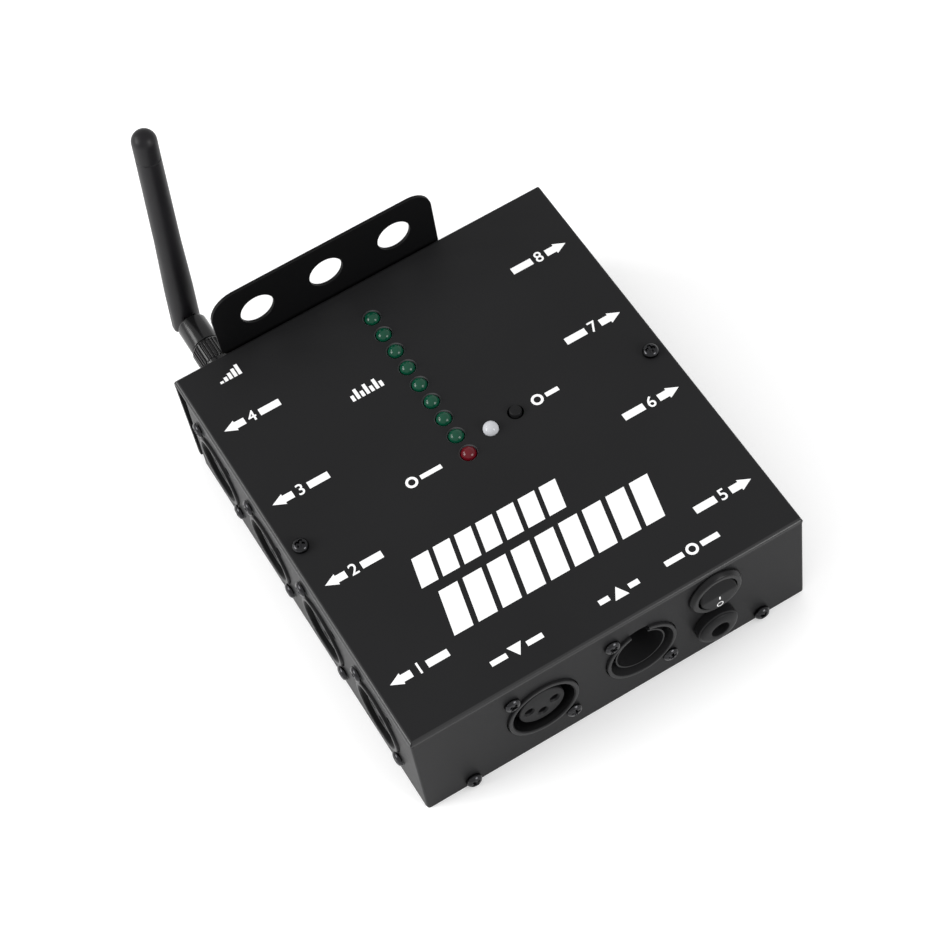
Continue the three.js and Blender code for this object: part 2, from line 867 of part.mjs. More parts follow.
// The main board with a driver chip for each output and the processor
function mainBoard() {
  const x = sideBoardX + boardThickness / 2;
  const outline = roundedOutline(-x, x, mainBoardFront, mainBoardRear,
    Array(4).fill(boardCorner));
  const pieces = [slab(outline, boardFoot, boardTop)];
  for (const side of [-1, 1]) {
    for (const y of sideSocketY) {
      const centre = side * driverX;
      const middle = y * (mainBoardRear - mainBoardFront) / caseDepth;
      pieces.push(block(centre - chipLength / 2, centre + chipLength / 2,
        middle - chipWidth / 2, middle + chipWidth / 2, boardTop - gap,
        boardTop + chipHeight));
    }
  }
  const half = processorSize / 2;
  pieces.push(block(processorX - half, processorX + half, processorY - half,
    processorY + half, boardTop - gap, boardTop + chipHeight));
  return union(pieces);
}

// A side board behind the four outputs of one wall, with its cable header
function sideBoard() {
  const outline = roundedOutline(-sideBoardRear, sideBoardRear, sideBoardFoot,
    boardFoot - gap, Array(4).fill(boardCorner));
  const half = boardThickness / 2;
  const board = placed(slab(outline, -half, half), alongX);
  const header = block(half - gap, half + headerWidth, -headerLength / 2,
    headerLength / 2, sideBoardFoot + boardCorner, sideBoardFoot + boardCorner + headerHeight);
  return board.add(header);
}

function radioModule() {
  const back = -sheet - gap - jackTail - gap;
  const x = radioWidth / 2;
  const y = radioHeight / 2;
  const plate = slab(roundedOutline(-x, x, -y, y, Array(4).fill(radioBoard)),
    back - radioBoard, back);
  const can = block(-x + radioCanMargin, x - radioCanMargin, -y + radioCanMargin,
    y - radioCanMargin, back - radioBoard - radioCan, back - radioBoard + gap);
  return plate.add(can);
}

// The bracket's outline, with a tapered side and a notch beside the antenna
function hangingBracket() {
  const x0 = bracketX - bracketWidth / 2;
  const x1 = bracketX + bracketWidth / 2;
  const top = caseHeight + bracketRise;
  const taperTop = caseHeight + bracketTaperHeight;
  const outline = new THREE.Shape();
  const low = x0 + bracketTaper;
  outline.moveTo(low + bracketFootCorner, bracketFoot);
  outline.lineTo(x1 - bracketFootCorner, bracketFoot);
  outline.absarc(x1 - bracketFootCorner, bracketFoot + bracketFootCorner,
    bracketFootCorner, -Math.PI / 2, 0);
  outline.lineTo(x1, top - bracketCorner);
  outline.absarc(x1 - bracketCorner, top - bracketCorner, bracketCorner, 0, Math.PI / 2);
  outline.lineTo(x0 + bracketCorner, top);
  outline.absarc(x0 + bracketCorner, top - bracketCorner, bracketCorner,
    Math.PI / 2, Math.PI);
  outline.lineTo(x0, taperTop);
  outline.lineTo(low, caseHeight);
  outline.lineTo(low, bracketFoot + bracketFootCorner);
  outline.absarc(low + bracketFootCorner, bracketFoot + bracketFootCorner,
    bracketFootCorner, Math.PI, Math.PI * 1.5);
  const y = rearY + gap;
  let plate = placed(slab(outline, -y - bracketThickness, -y), alongY);
  const through = (x, z, radius, sides) => placed(
    rod(radius, -overrun, bracketThickness + overrun, sides),
    onRear(x, z),
  );
  for (const step of [-1, 0, 1]) {
    plate = plate.subtract(through(bracketX + step * hangingHolePitch,
      caseHeight + hangingHoleRise, hangingHoleRadius, ringSides));
  }
  for (const side of [-1, 1]) {
    plate = plate.subtract(through(bracketX + side * bracketScrewSpread,
      bracketScrewZ, screwShank + gap, boreSides));
  }
  const clear = jackHexAcross / Math.sqrt(3) + gap * 3;
  return plate.subtract(through(antennaX, antennaZ, clear, ringSides));
}

// The antenna jack: hexagons inside and outside the wall on one threaded barrel
function antennaJack() {
  const inside = -sheet - gap;
  return union([
    rod(jackThread, inside - jackTail + jackTailPinLength, jackReach, noseSides),
    rod(jackTailPin, inside - jackTail, inside - jackTail + jackTailPinLength + gap, 6),
    hexagon(jackHexAcross, inside - jackHexThickness, inside),
    hexagon(jackHexAcross, gap, gap + jackHexThickness),
  ]);
}

// Heights along the antenna's foot, out of the rear wall
const couplingFoot = gap * 2 + jackHexThickness;
const couplingHead = couplingFoot + couplingLength;
const collarFoot = jackReach + gap;
const collarHead = collarFoot + swivelCollarHeight;
const shoulderFoot = collarHead + gap;
const swivelFoot = couplingHead + gap;
const swivelHead = hingeReach - whipFootRadius - gap;

// The knurled nut that clamps the swivel on the jack
function couplingNut() {
  const outline = new THREE.Shape();
  for (let i = 0; i < couplingTeeth * 2; i += 1) {
    const turn = (Math.PI * i) / couplingTeeth;
    const radius = couplingRadius - (i % 2) * couplingKnurl;
    const x = radius * Math.cos(turn);
    const y = radius * Math.sin(turn);
    if (i) outline.lineTo(x, y);
    else outline.moveTo(x, y);
  }
  const knurl = slab(outline, couplingFoot, couplingHead);
  const cut = couplingRadius - couplingChamfer;
  const ends = turned([
    [0, couplingFoot],
    [cut, couplingFoot],
    [couplingRadius + gap, couplingFoot + couplingChamfer + gap],
    [couplingRadius + gap, couplingHead - couplingChamfer - gap],
    [cut, couplingHead],
    [0, couplingHead],
  ], couplingTeeth);
  const bore = turned([
    [0, couplingFoot - overrun],
    [jackThread + gap, couplingFoot - overrun],
    [jackThread + gap, shoulderFoot],
    [swivelNeck + gap, shoulderFoot],
    [swivelNeck + gap, couplingHead + overrun],
    [0, couplingHead + overrun],
  ], noseSides);
  return knurl.intersect(ends).subtract(bore);
}

// The swivel: a collar and neck inside the nut, a round body, and the hinge tongue
function swivelBase() {
  const body = turned([
    [0, collarFoot],
    [jackThread, collarFoot],
    [jackThread, collarHead],
    [swivelNeck, collarHead],
    [swivelNeck, swivelFoot],
    [swivelRadius - swivelEdge, swivelFoot],
    [swivelRadius, swivelFoot + swivelEdge],
    [swivelRadius, swivelHead - swivelEdge],
    [swivelRadius - swivelEdge, swivelHead],
    [0, swivelHead],
  ], whipSides);
  const outline = new THREE.Shape();
  outline.moveTo(-tongueRadius, swivelHead - swivelEdge);
  outline.lineTo(tongueRadius, swivelHead - swivelEdge);
  outline.lineTo(tongueRadius, hingeReach);
  outline.absarc(0, hingeReach, tongueRadius, 0, Math.PI);
  const half = tongueWidth / 2;
  const tongue = placed(slab(outline, -half, half), alongX);
  const hole = placed(rod(hingePinRadius + gap, -swivelRadius, swivelRadius, smallSides), alongX);
  return body.add(tongue).subtract(hole.translate([0, 0, hingeReach]));
}

function hingePin() {
  const half = whipFlatWidth / 2 - gap;
  return placed(rod(hingePinRadius, -half, half, smallSides), alongX);
}

// The whip: a fork at its foot, a slow taper, and a domed cap behind a groove
function whip() {
  const capFoot = whipLength - capLength;
  const domeFoot = whipLength - whipTipRadius;
  const dome = Array.from({ length: domeSteps + 2 }, (unused, i) => {
    const turn = (Math.PI / 2) * (i / (domeSteps + 1));
    return [whipTipRadius * Math.cos(turn), domeFoot + whipTipRadius * Math.sin(turn)];
  });
  dome[domeSteps + 1][0] = 0;
  const body = turned([
    [0, -whipFootRadius],
    [whipFootRadius, -whipFootRadius],
    [whipShoulderRadius, whipLength * whipShoulderShare],
    [whipMidRadius, whipLength * whipMidShare],
    [whipTipRadius, capFoot - capGroove * 2],
    [whipTipRadius - capGroove, capFoot - capGroove],
    [whipTipRadius, capFoot],
    ...dome,
  ], whipSides);
  const fork = new THREE.Shape();
  fork.absarc(0, 0, whipFootRadius, Math.PI, Math.PI * 2);
  fork.lineTo(whipFootRadius, whipLength + overrun);
  fork.lineTo(-whipFootRadius, whipLength + overrun);
  const round = placed(slab(fork, -whipFootRadius, whipFootRadius), alongX);
  const flat = whipFlatWidth / 2;
  const wide = whipFootRadius + overrun;
  const slot = tongueWidth / 2 + gap;
  const hole = placed(rod(hingePinRadius + gap, -wide, wide, smallSides), alongX);
  return body.intersect(round)
    .subtract(block(flat, wide, -wide, wide, -wide, whipFlatHeight))
    .subtract(block(-wide, -flat, -wide, wide, -wide, whipFlatHeight))
    .subtract(block(-slot, slot, -wide, wide, -wide, tongueRadius + gap))
    .subtract(hole);
}

// Case
addPiece('top_cover', topCover(), blackPaint);
addPiece('base_plate', basePlate(), blackPaint);
addPiece('hanging_bracket', hangingBracket(), bracketPaint);
for (const [name, frame] of caseScrewFrames) {
  addPiece(name, panScrew(gap, caseScrewLength, smallSides), darkZinc, frame);
}
for (const [name, frame] of bracketScrewFrames) {
  const seat = gap * 2 + bracketThickness;
  addPiece(name, panScrew(seat, caseScrewLength, smallSides), darkZinc, frame);
}
for (const [side, x] of [['left', -lidScrewX], ['right', lidScrewX]]) {
  addPiece(`lid_${side}_screw`, panScrew(gap, lidScrewLength, smallSides), darkZinc,
    onTop(x, 0));
  addPiece(`base_${side}_screw`, sunkScrew(), darkZinc, underBase(x, 0));
  addPiece(`${side}_pillar`, pillar(), steel, new THREE.Matrix4().setPosition(x, 0, 0));
}

// Sockets
for (const [name, frame] of femaleFrames) {
  addPiece(`${name}_shell`, femaleShell(), blackPaint, frame);
  addPiece(`${name}_insert`, femaleInsert(), blackPlastic, frame);
}
addPiece('in_shell', maleShell(), blackPaint, maleFrame);
addPiece('in_insert', maleInsert(), blackPlastic, maleFrame);

// Switch and power inlet
addPiece('switch_housing', switchHousing(), glossPlastic, switchFrame);
addPiece('rocker', rocker(), glossPlastic, switchFrame);
addPiece('power_inlet', inlet(), glossPlastic, inletFrame);
addPiece('inlet_nut', inletNut(), steel, inletFrame);

// Boards
addPiece('main_board', mainBoard(), laminate);
addPiece('left_board', sideBoard(), laminate, new THREE.Matrix4().setPosition(-sideBoardX, 0, 0));
addPiece('right_board', sideBoard(), laminate,
  new THREE.Matrix4().makeRotationZ(Math.PI).setPosition(sideBoardX, 0, 0));
addPiece('radio_module', radioModule(), laminate, jackFrame);

// Lamps and button
lampPlaces.forEach(([x, y], i) => {
  const name = i ? `signal_lamp_${i}` : 'power_lamp';
  addPiece(name, lamp(lampProud), i ? greenLens : redLens,
    new THREE.Matrix4().setPosition(x, y, 0));
});
addPiece('pairing_lamp', lamp(pairingLampProud), clearLens,
  new THREE.Matrix4().setPosition(pairingLampX, pairingLampY, 0));
const buttonFrame = new THREE.Matrix4().setPosition(buttonX, buttonY, 0);
addPiece('button_body', buttonBody(), blackPlastic, buttonFrame);
addPiece('button_cap', buttonCap(), blackPlastic, buttonFrame);

// Antenna, leaning and tilted as it stands
const lean = new THREE.Matrix4().makeRotationZ(THREE.MathUtils.degToRad(antennaLean));
const swivelFrame = jackFrame.clone().multiply(lean);
const hingeFrame = swivelFrame.clone()
  .multiply(new THREE.Matrix4().makeTranslation(0, 0, hingeReach));
const tilt = new THREE.Matrix4().makeRotationX(THREE.MathUtils.degToRad(-antennaRest));
addPiece('antenna_jack', antennaJack(), gold, jackFrame);
addPiece('coupling_nut', couplingNut(), glossPlastic, jackFrame);
addPiece('swivel_base', swivelBase(), rubber, swivelFrame);
addPiece('hinge_pin', hingePin(), steel, hingeFrame);
addPiece('whip', whip(), rubber, hingeFrame.clone().multiply(tilt));

export default part;
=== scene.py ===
"""Looks of a stage lighting data splitter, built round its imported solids.

Every piece is a surface worked out with numpy in the frame's own metres: a
profile turned round an axis, an outline carried along a line, or a flat panel
with its holes. Materials are procedural and read Object coordinates.
"""
import math

import bmesh
import bpy
import numpy as np
from bpy.props import FloatProperty, FloatVectorProperty, IntProperty, PointerProperty
from mathutils import Matrix, Vector
from mathutils.geometry import tessellate_polygon


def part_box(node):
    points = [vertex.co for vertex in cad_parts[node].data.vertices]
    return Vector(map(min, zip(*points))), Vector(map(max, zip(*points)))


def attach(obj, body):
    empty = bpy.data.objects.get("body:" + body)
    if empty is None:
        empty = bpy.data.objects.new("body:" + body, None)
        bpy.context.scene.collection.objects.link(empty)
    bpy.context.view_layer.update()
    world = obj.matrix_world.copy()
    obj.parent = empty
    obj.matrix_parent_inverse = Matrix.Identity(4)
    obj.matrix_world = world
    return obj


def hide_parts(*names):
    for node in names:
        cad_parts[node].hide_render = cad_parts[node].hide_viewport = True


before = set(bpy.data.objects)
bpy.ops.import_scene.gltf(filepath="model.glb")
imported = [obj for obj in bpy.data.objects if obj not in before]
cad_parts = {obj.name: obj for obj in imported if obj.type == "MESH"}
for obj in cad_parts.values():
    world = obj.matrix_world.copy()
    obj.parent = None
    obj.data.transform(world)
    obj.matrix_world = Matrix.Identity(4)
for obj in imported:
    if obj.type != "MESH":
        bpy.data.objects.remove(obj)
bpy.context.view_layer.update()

bl_info = {
    "name": "Data Splitter Dressing",
    "version": (1, 0, 0),
    "blender": (4, 5, 0),
    "location": "View3D > Sidebar > Splitter",
    "description": "Dresses the solids of a stage lighting data splitter",
    "category": "Object",
}

MM = 0.001
WELD = 2e-6                     # points nearer than this are joined
GAP = 0.3 * MM                  # between a wall and what is screwed to it
FIT = 0.05 * MM                 # between a piece and the bore it sits in
OVERRUN = 1 * MM                # how far a cutter runs past what it cuts
WALL_BACK = -1.5 * MM           # front of a socket's flange, from the wall's face
BODY_BACK = -13 * MM            # back end of the switch and of the power inlet
RIM_WIDTH = 0.3 * MM            # width of the edge that shows in a lamp's hole
LAMP_COLLAR = 1 * MM            # height of the collar at a lamp's foot
BUTTON_RISE = 1 * MM            # how much higher the button's cap is than its solid
SHARP = math.radians(35)        # edges past this angle stay sharp
LID, UPRIGHT = [0, 1], [0, 2]   # the two axes that a flat panel lies along

# Points round a circle
SCREW_STEPS, SMALL_STEPS, LENS_STEPS, SOCKET_STEPS, HEAD_STEPS = 24, 32, 48, 64, 72
INSERT_STEPS, RING_STEPS = 80, 96


def box_of(node):
    """Lowest and highest corner of a solid as arrays."""
    low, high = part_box(node)
    return np.array(low), np.array(high)


COVER_LOW, COVER_HIGH = box_of("top_cover")
BRACKET_LOW, BRACKET_HIGH = box_of("hanging_bracket")
SIGNAL_LAMPS = [f"signal_lamp_{i}" for i in range(1, 9)]
FEMALE_SOCKETS = ["thru"] + [f"out_{i}" for i in range(1, 9)]
CASE_SCREWS = ["front_left_screw", "front_right_screw", "rear_left_screw", "rear_right_screw"]
BRACKET_SCREWS = ["bracket_left_screw", "bracket_right_screw"]
LID_SCREWS = ["lid_left_screw", "lid_right_screw"]


# Sizes and colours that a user may change

def size(label, millimetres, description):
    """A length property whose default is given in millimetres."""
    return FloatProperty(
        name=label, description=description, default=millimetres * MM,
        unit="LENGTH", precision=5,
    )


def angle(label, degrees, description):
    return FloatProperty(
        name=label, description=description, default=math.radians(degrees),
        subtype="ANGLE",
    )


def colour(label, value, description):
    return FloatVectorProperty(
        name=label, description=description, default=value, subtype="COLOR",
        size=3, min=0, max=1,
    )


class CaseSizes(bpy.types.PropertyGroup):
    """Sheet metal of the cover and its bracket."""

    sheet: size("Sheet", 1.2, "Thickness of the folded sheet")
    bend: size("Bend radius", 1.25, "Outer radius of the folds along the lid")
    corner_bend: size("Corner bend", 0.9, "Outer radius of the front wall's upright folds")
    notch: size("Corner notch", 0.3, "Gap where two folds meet at a corner")
    notch_drop: size("Notch drop", 0.12, "Gap between the folds and the tabs below them")
    relief: size("Relief", 0.6, "Depth of the round relief below a corner")
    flap_corner: size("Flap corner", 0.8, "Rounding of the walls' lower corners")
    tab_top: size("Return tab, top", 6.4, "Width of the front wall's return tab at its top")
    tab_foot: size("Return tab, foot", 1.2, "Width of the front wall's return tab at its foot")
    tab_sink: size("Return tab sink", 0.12, "How far the tab's fold lies inside the side wall")
    slot_top: size("Rear slot, top", 8.5, "Width of the open rear slot at its top")
    slot_foot: size("Rear slot, foot", 5.0, "Width of the open rear slot at its foot")
    seam: size("Seam", 0.02, "Gap between a side wall and the return tab")
    lamp_hole: size("Lamp hole", 3.05, "Radius of a hole round a lamp")
    button_hole: size("Button hole", 2.65, "Radius of the hole round the button")
    screw_hole: size("Screw hole", 1.6, "Radius of a screw's hole")
    socket_hole: size("Socket hole", 12.4, "Radius of the hole round a socket's ring")
    switch_hole: size("Switch hole", 7.7, "Radius of the hole round the switch")
    inlet_hole: size("Inlet hole", 5.7, "Radius of the hole round the power inlet")
    jack_hole: size("Jack hole", 3.4, "Radius of the hole round the antenna jack")
    bracket_sheet: size("Bracket sheet", 1.1, "Thickness of the bracket's plate")
    bracket_edge: size("Bracket edge", 0.12, "Chamfer of the bracket's edges")
    bracket_corner: size("Bracket corner", 7.5, "Radius of the bracket's right upper corner")
    bracket_round: size("Bracket round", 9.0, "Radius of the corner on the antenna's side")
    bracket_foot: size("Bracket foot", 3.0, "Radius of the bracket's lower corners")
    bracket_taper: size("Bracket taper", 2.0, "How far the bracket's side draws in")
    bracket_taper_drop: size("Taper drop", 4.0, "Height of the taper below the lid")
    bracket_reach: size("Bracket reach", 0.8, "Extra width of the bracket on the antenna's side")
    bracket_shift: size("Bracket shift", 0.6, "How far the bracket sits to the right of its solid")
    hanging_hole: size("Hanging hole", 5.9, "Radius of the bracket's round holes")
    hanging_pitch: size("Hanging pitch", 24.8, "Distance between the bracket's holes")
    hanging_rise: size("Hanging rise", 11.7, "Height of the holes above the lid")


class SocketSizes(bpy.types.PropertyGroup):
    """The round three-pin sockets."""

    ring: size("Ring radius", 12.1, "Outer radius of the ring that shows")
    proud: size("Ring height", 0.95, "How far the ring stands out of the wall")
    edge: size("Ring edge", 0.35, "Rounding of the ring's outer edge")
    rim_edge: size("Rim edge", 0.3, "Rounding of the ring's inner edge")
    rim: size("Rim radius", 10.9, "Inner radius at the ring's mouth")
    bore: size("Bore radius", 9.9, "Radius of the shell's bore")
    taper: size("Rim depth", 3.0, "Depth of the sloping rim")
    body: size("Body radius", 11.4, "Outer radius of the shell behind the wall")
    reach: size("Depth", 19.0, "Depth of the shell behind the wall")
    flange_width: size("Flange width", 25.6, "Width of the fixing flange")
    flange_height: size("Flange height", 31.0, "Height of the fixing flange")
    flange: size("Flange thickness", 1.8, "Thickness of the fixing flange")
    flange_corner: size("Flange corner", 3.0, "Radius of the flange's corners")
    screw_x: size("Screw offset across", 9.5, "Sideways offset of the fixing screws")
    screw_z: size("Screw offset up", 12.0, "Upward offset of the fixing screws")
    nose: size("Insert radius", 7.8, "Radius of the female insert's face")
    nose_edge: size("Insert edge", 0.45, "Rounding of the female insert's face")
    sink: size("Insert sink", 0.4, "How far the insert's face lies below the wall's face")
    floor: size("Floor depth", 13.0, "Depth of the groove round the insert")
    contact: size("Contact radius", 1.4, "Radius of a contact hole")
    flare: size("Contact flare", 0.5, "Chamfer of a contact hole")
    contact_depth: size("Contact depth", 8.0, "Depth of a contact hole")
    spread: size("Contact spread", 4.35, "Sideways offset of the two upper contacts")
    rise: size("Contact rise", 0.1, "Height of the two upper contacts")
    drop: size("Contact drop", 3.4, "Depth of the lower contact below the centre")
    cup: size("Cup radius", 8.1, "Inner radius of the male socket's sleeve")
    sleeve: size("Sleeve radius", 8.6, "Outer radius of the male socket's sleeve")
    groove: size("Sleeve groove", 3.4, "Depth of the groove round the sleeve")
    pin: size("Pin radius", 1.2, "Radius of a contact pin")
    pin_length: size("Pin length", 5.5, "Length of a contact pin")
    latch_width: size("Latch width", 6.3, "Width of the latch notch")
    latch_depth: size("Latch depth", 3.7, "Depth of the latch notch")


class FittingSizes(bpy.types.PropertyGroup):
    """Screws, lamps, button, switch and power inlet."""

    head: size("Screw head radius", 2.6, "Radius of a pan head")
    head_height: size("Screw head height", 1.9, "Height of a pan head")
    low_head: size("Socket screw height", 1.4, "Height of a socket's screw heads")
    shank: size("Screw shank radius", 1.3, "Radius of a screw's shank")
    shank_length: size("Shank length", 4.0, "Length of the shank that is modelled")
    recess: size("Recess reach", 1.5, "How far the cross recess reaches out")
    recess_width: size("Recess width", 0.5, "Half width of the cross recess's arms")
    recess_depth: size("Recess depth", 1.1, "Depth of the cross recess")
    lamp: size("Lamp radius", 2.5, "Radius of a lamp's lens")
    bezel: size("Bezel radius", 8.3, "Radius of the switch's bezel at its face")
    bezel_height: size("Bezel height", 2.1, "Height of the switch's bezel")
    bezel_edge: size("Bezel edge", 0.8, "Rounding of the bezel")
    bezel_foot: size("Bezel foot", 9.1, "Radius of the bezel at the wall")
    switch_bore: size("Switch bore", 6.75, "Radius of the switch's opening")
    switch_depth: size("Switch depth", 8.0, "Depth of the switch's opening")
    switch_body: size("Switch body radius", 7.4, "Radius of the switch behind the wall")
    rocker_gap: size("Rocker gap", 0.5, "Gap between rocker and opening")
    rocker_edge: size("Rocker ridge", 3.1, "Height of the rocker's middle over its pivot")
    rocker_drum: size("Rocker drum", 3.0, "Depth of the rocker below its pivot")
    rocker_round: size("Rocker round", 0.5, "How far the rocker's edge rounds over")
    rocker_dip: size("Rocker dip", 1.6, "How far the rocker's ends lie below its middle")
    rocker_tilt: angle("Rocker tilt", 14, "Resting tilt of the rocker")
    pivot: size("Rocker pivot", 0.2, "Height of the rocker's pivot over the wall")
    inlet: size("Inlet radius", 7.1, "Radius of the power inlet's flange")
    inlet_drop: size("Inlet drop", 0.9, "How far the inlet's face sits below its solid")
    inlet_shift: size("Inlet shift", 0.3, "How far the inlet's face sits to the left")
    inlet_height: size("Inlet height", 4.3, "Height of the power inlet")
    inlet_shoulder: size("Inlet shoulder", 3.2, "Where the inlet's face begins to slope")
    inlet_crown: size("Inlet crown", 0.5, "Flat rim round the inlet's opening")
    inlet_bore: size("Inlet bore", 3.1, "Radius of the inlet's opening")
    inlet_depth: size("Inlet depth", 10.0, "Depth of the inlet's opening")
    inlet_pin: size("Inlet pin radius", 1.0, "Radius of the inlet's pin")
    inlet_pin_sink: size("Inlet pin sink", 3.5, "How far the pin's tip lies inside")
    inlet_barrel: size("Inlet barrel radius", 5.4, "Radius of the inlet behind the wall")


class AntennaSizes(bpy.types.PropertyGroup):
    """The coupling nut, swivel and whip."""

    swivel: size("Swivel radius", 5.0, "Radius of the swivel")
    nut_cut: size("Nut cut", 1.7, "How much shorter the nut looks than its solid")
    nut_gain: FloatProperty(name="Nut gain", default=1.12, min=1,
                            description="The nut's radius over its solid's")
    nut_bore: size("Nut bore", 3.45, "Radius of the coupling nut's bore")
    nut_collar: size("Nut collar", 1.6, "Height of the plain collar below the flutes")
    knurl: size("Knurl depth", 0.5, "Depth of the coupling nut's flutes")
    flutes: IntProperty(name="Flutes", description="Flutes round the coupling nut",
                        default=30, min=6)
    hinge_reach: size("Hinge reach", 29.2, "Distance of the hinge from the rear wall")
    lean: angle("Lean", 5.0, "Sideways lean of the swivel")
    tilt: angle("Tilt", 85.7, "How far the whip is folded up from straight")
    foot: size("Foot radius", 4.8, "Radius of the whip's round foot")
    flat: size("Fork width", 9.3, "Width across the flats of the whip's fork")
    flat_height: size("Flat height", 10.0, "Height of the fork's flats above the hinge")
    shoulder: size("Shoulder radius", 4.75, "Radius of the whip above its foot")
    middle: size("Middle radius", 4.25, "Radius of the whip at its waist")
    tip: size("Tip radius", 4.05, "Radius of the whip at its tip")
    length: size("Whip length", 82.9, "Length of the whip from hinge to tip")
    cap: size("Cap length", 10.8, "Length of the cap at the tip")
    groove: size("Cap groove", 0.25, "Depth of the groove below the cap")
    tongue: size("Tongue", 3.4, "Thickness of the tongue in the fork")
    tongue_round: size("Tongue round", 3.0, "Radius of the tongue's end")
    slot: size("Fork slot", 4.0, "Width of the fork's slot")
    slot_depth: size("Fork slot depth", 3.3, "How far the slot runs above the hinge")


class Finishes(bpy.types.PropertyGroup):
    """Colours of the object's finishes."""

    paint: colour("Powder coat", (0.0145, 0.0145, 0.0151), "Colour of the case")
    plate: colour("Bracket coat", (0.0035, 0.0035, 0.0038), "Colour of the bracket")
    moulding: colour("Moulding", (0.009, 0.009, 0.0095), "Colour of the black plastic")
    rubber: colour("Antenna skin", (0.0055, 0.0050, 0.0062), "Colour of the antenna")
    # also on the male pins, where its darkness is painted shade
    steel: colour("Screw steel", (0.035, 0.035, 0.037), "Colour of the dark plated screws")
    print_ink: colour("Ink", (0.86, 0.86, 0.86), "Colour of the printed marks")
    green: colour("Green lens", (0.0010, 0.058, 0.029), "Colour of the signal lamps")
    red: colour("Red lens", (0.110, 0.0010, 0.006), "Colour of the power lamp")
    clear: colour("Clear lens", (0.62, 0.63, 0.66), "Colour of the pairing lamp")
    floor: colour("Floor", (0.95, 0.95, 0.95), "Colour of the studio floor")


class StudioSizes(bpy.types.PropertyGroup):
    """Camera and lights."""

    azimuth: angle("Azimuth", -20.279, "Camera's turn round the object")
    elevation: angle("Elevation", 57.563, "Camera's height over the horizon")
    roll: angle("Roll", -11.813, "Camera's roll")
    lens: FloatProperty(name="Lens", description="Focal length in millimetres",
                        default=102.174, min=1)
    eye_x: size("Eye X", -155.853, "Camera's place")
    eye_y: size("Eye Y", -407.332, "Camera's place")
    eye_z: size("Eye Z", 721.312, "Camera's place")


# Surfaces

def frame_at(across, up, out, origin):
    """A 4 x 4 placing matrix whose columns are the three axes and the origin."""
    matrix = np.eye(4)
    matrix[:3, 0], matrix[:3, 1], matrix[:3, 2], matrix[:3, 3] = across, up, out, origin
    return matrix


def front_frame(x, z):
    return frame_at((1, 0, 0), (0, 0, 1), (0, -1, 0), (x, COVER_LOW[1], z))


def rear_frame(x, z):
    return frame_at((-1, 0, 0), (0, 0, 1), (0, 1, 0), (x, COVER_HIGH[1], z))


def left_frame(y, z):
    return frame_at((0, -1, 0), (0, 0, 1), (-1, 0, 0), (COVER_LOW[0], y, z))


def right_frame(y, z):
    return frame_at((0, 1, 0), (0, 0, 1), (1, 0, 0), (COVER_HIGH[0], y, z))


def lid_frame(x, y):
    return frame_at((1, 0, 0), (0, 1, 0), (0, 0, 1), (x, y, COVER_HIGH[2]))


def turned_about(axis, turn):
    """A 4 x 4 turn about a coordinate axis through the origin."""
    return np.array(Matrix.Rotation(turn, 4, axis))


def moved(offset):
    return np.array(Matrix.Translation(Vector(offset)))


def placed(points, matrix):
    """Each point times the matrix."""
    return points @ matrix[:3, :3].T + matrix[:3, 3]


def grid_faces(rows, columns, wrap_rows, wrap_columns):
    """Quads between neighbouring rows and columns, from index arithmetic."""
    row = np.arange(rows if wrap_rows else rows - 1)[:, None]
    column = np.arange(columns if wrap_columns else columns - 1)[None, :]
    next_row, next_column = (row + 1) % rows, (column + 1) % columns
    corners = [(row, column), (next_row, column), (next_row, next_column), (row, next_column)]
    return np.stack([(r * columns + c).ravel() for r, c in corners], axis=1)


def surface(grid, wrap_rows=False, wrap_columns=False):
    """A rows x columns x 3 grid as (points, faces)."""
    rows, columns = grid.shape[:2]
    return grid.reshape(-1, 3), grid_faces(rows, columns, wrap_rows, wrap_columns)


def turned(profile, steps, ring=False):
    """Radius and height turned round z: (r cos a, r sin a, h) for each angle a."""
    profile = np.asarray(profile, float)
    turn = np.linspace(0, 2 * np.pi, steps, endpoint=False)[:, None]
    radius, height = profile[:, 0][None, :], profile[:, 1][None, :]
    grid = np.stack([radius * np.cos(turn), radius * np.sin(turn), height + 0 * turn], axis=2)
    return surface(grid, wrap_rows=True, wrap_columns=ring)


def rounded(points, radii, steps=5):
    """A polyline whose corners are replaced by arcs tangent to both sides.

    With half the corner's angle as a, the arc leaves each side at the distance
    radius / tan(a) and its centre lies at radius / sin(a) along the bisector.
    """
    points = np.asarray(points, float)
    out = []
    for i, radius in enumerate(radii):
        corner = points[i]
        if not radius:
            out.append(corner[None, :])
            continue
        before = points[i - 1] - corner
        after = points[(i + 1) % len(points)] - corner
        before /= np.linalg.norm(before)
        after /= np.linalg.norm(after)
        half = math.acos(np.clip(before @ after, -1, 1)) / 2
        bisector = (before + after) / np.linalg.norm(before + after)
        centre = corner + bisector * radius / math.sin(half)
        start = corner + before * radius / math.tan(half) - centre
        end = corner + after * radius / math.tan(half) - centre
        share = np.linspace(0, 1, steps + 1)[:, None]
        sweep = math.pi - 2 * half
        arc = (start * np.sin((1 - share) * sweep) + end * np.sin(share * sweep)) / math.sin(sweep)
        out.append(centre + arc)
    return np.concatenate(out)


def circle(x, y, radius, steps=LENS_STEPS):
    """Points (x + r cos a, y + r sin a) round a circle."""
    turn = np.linspace(0, 2 * np.pi, steps, endpoint=False)
    return np.stack([x + radius * np.cos(turn), y + radius * np.sin(turn)], axis=1)


def rectangle(x0, x1, y0, y1, corner=0, steps=6):
    """A rectangle's outline, anticlockwise, with round corners."""
    points = [(x0, y0), (x1, y0), (x1, y1), (x0, y1)]
    return rounded(points, [corner] * 4, steps)


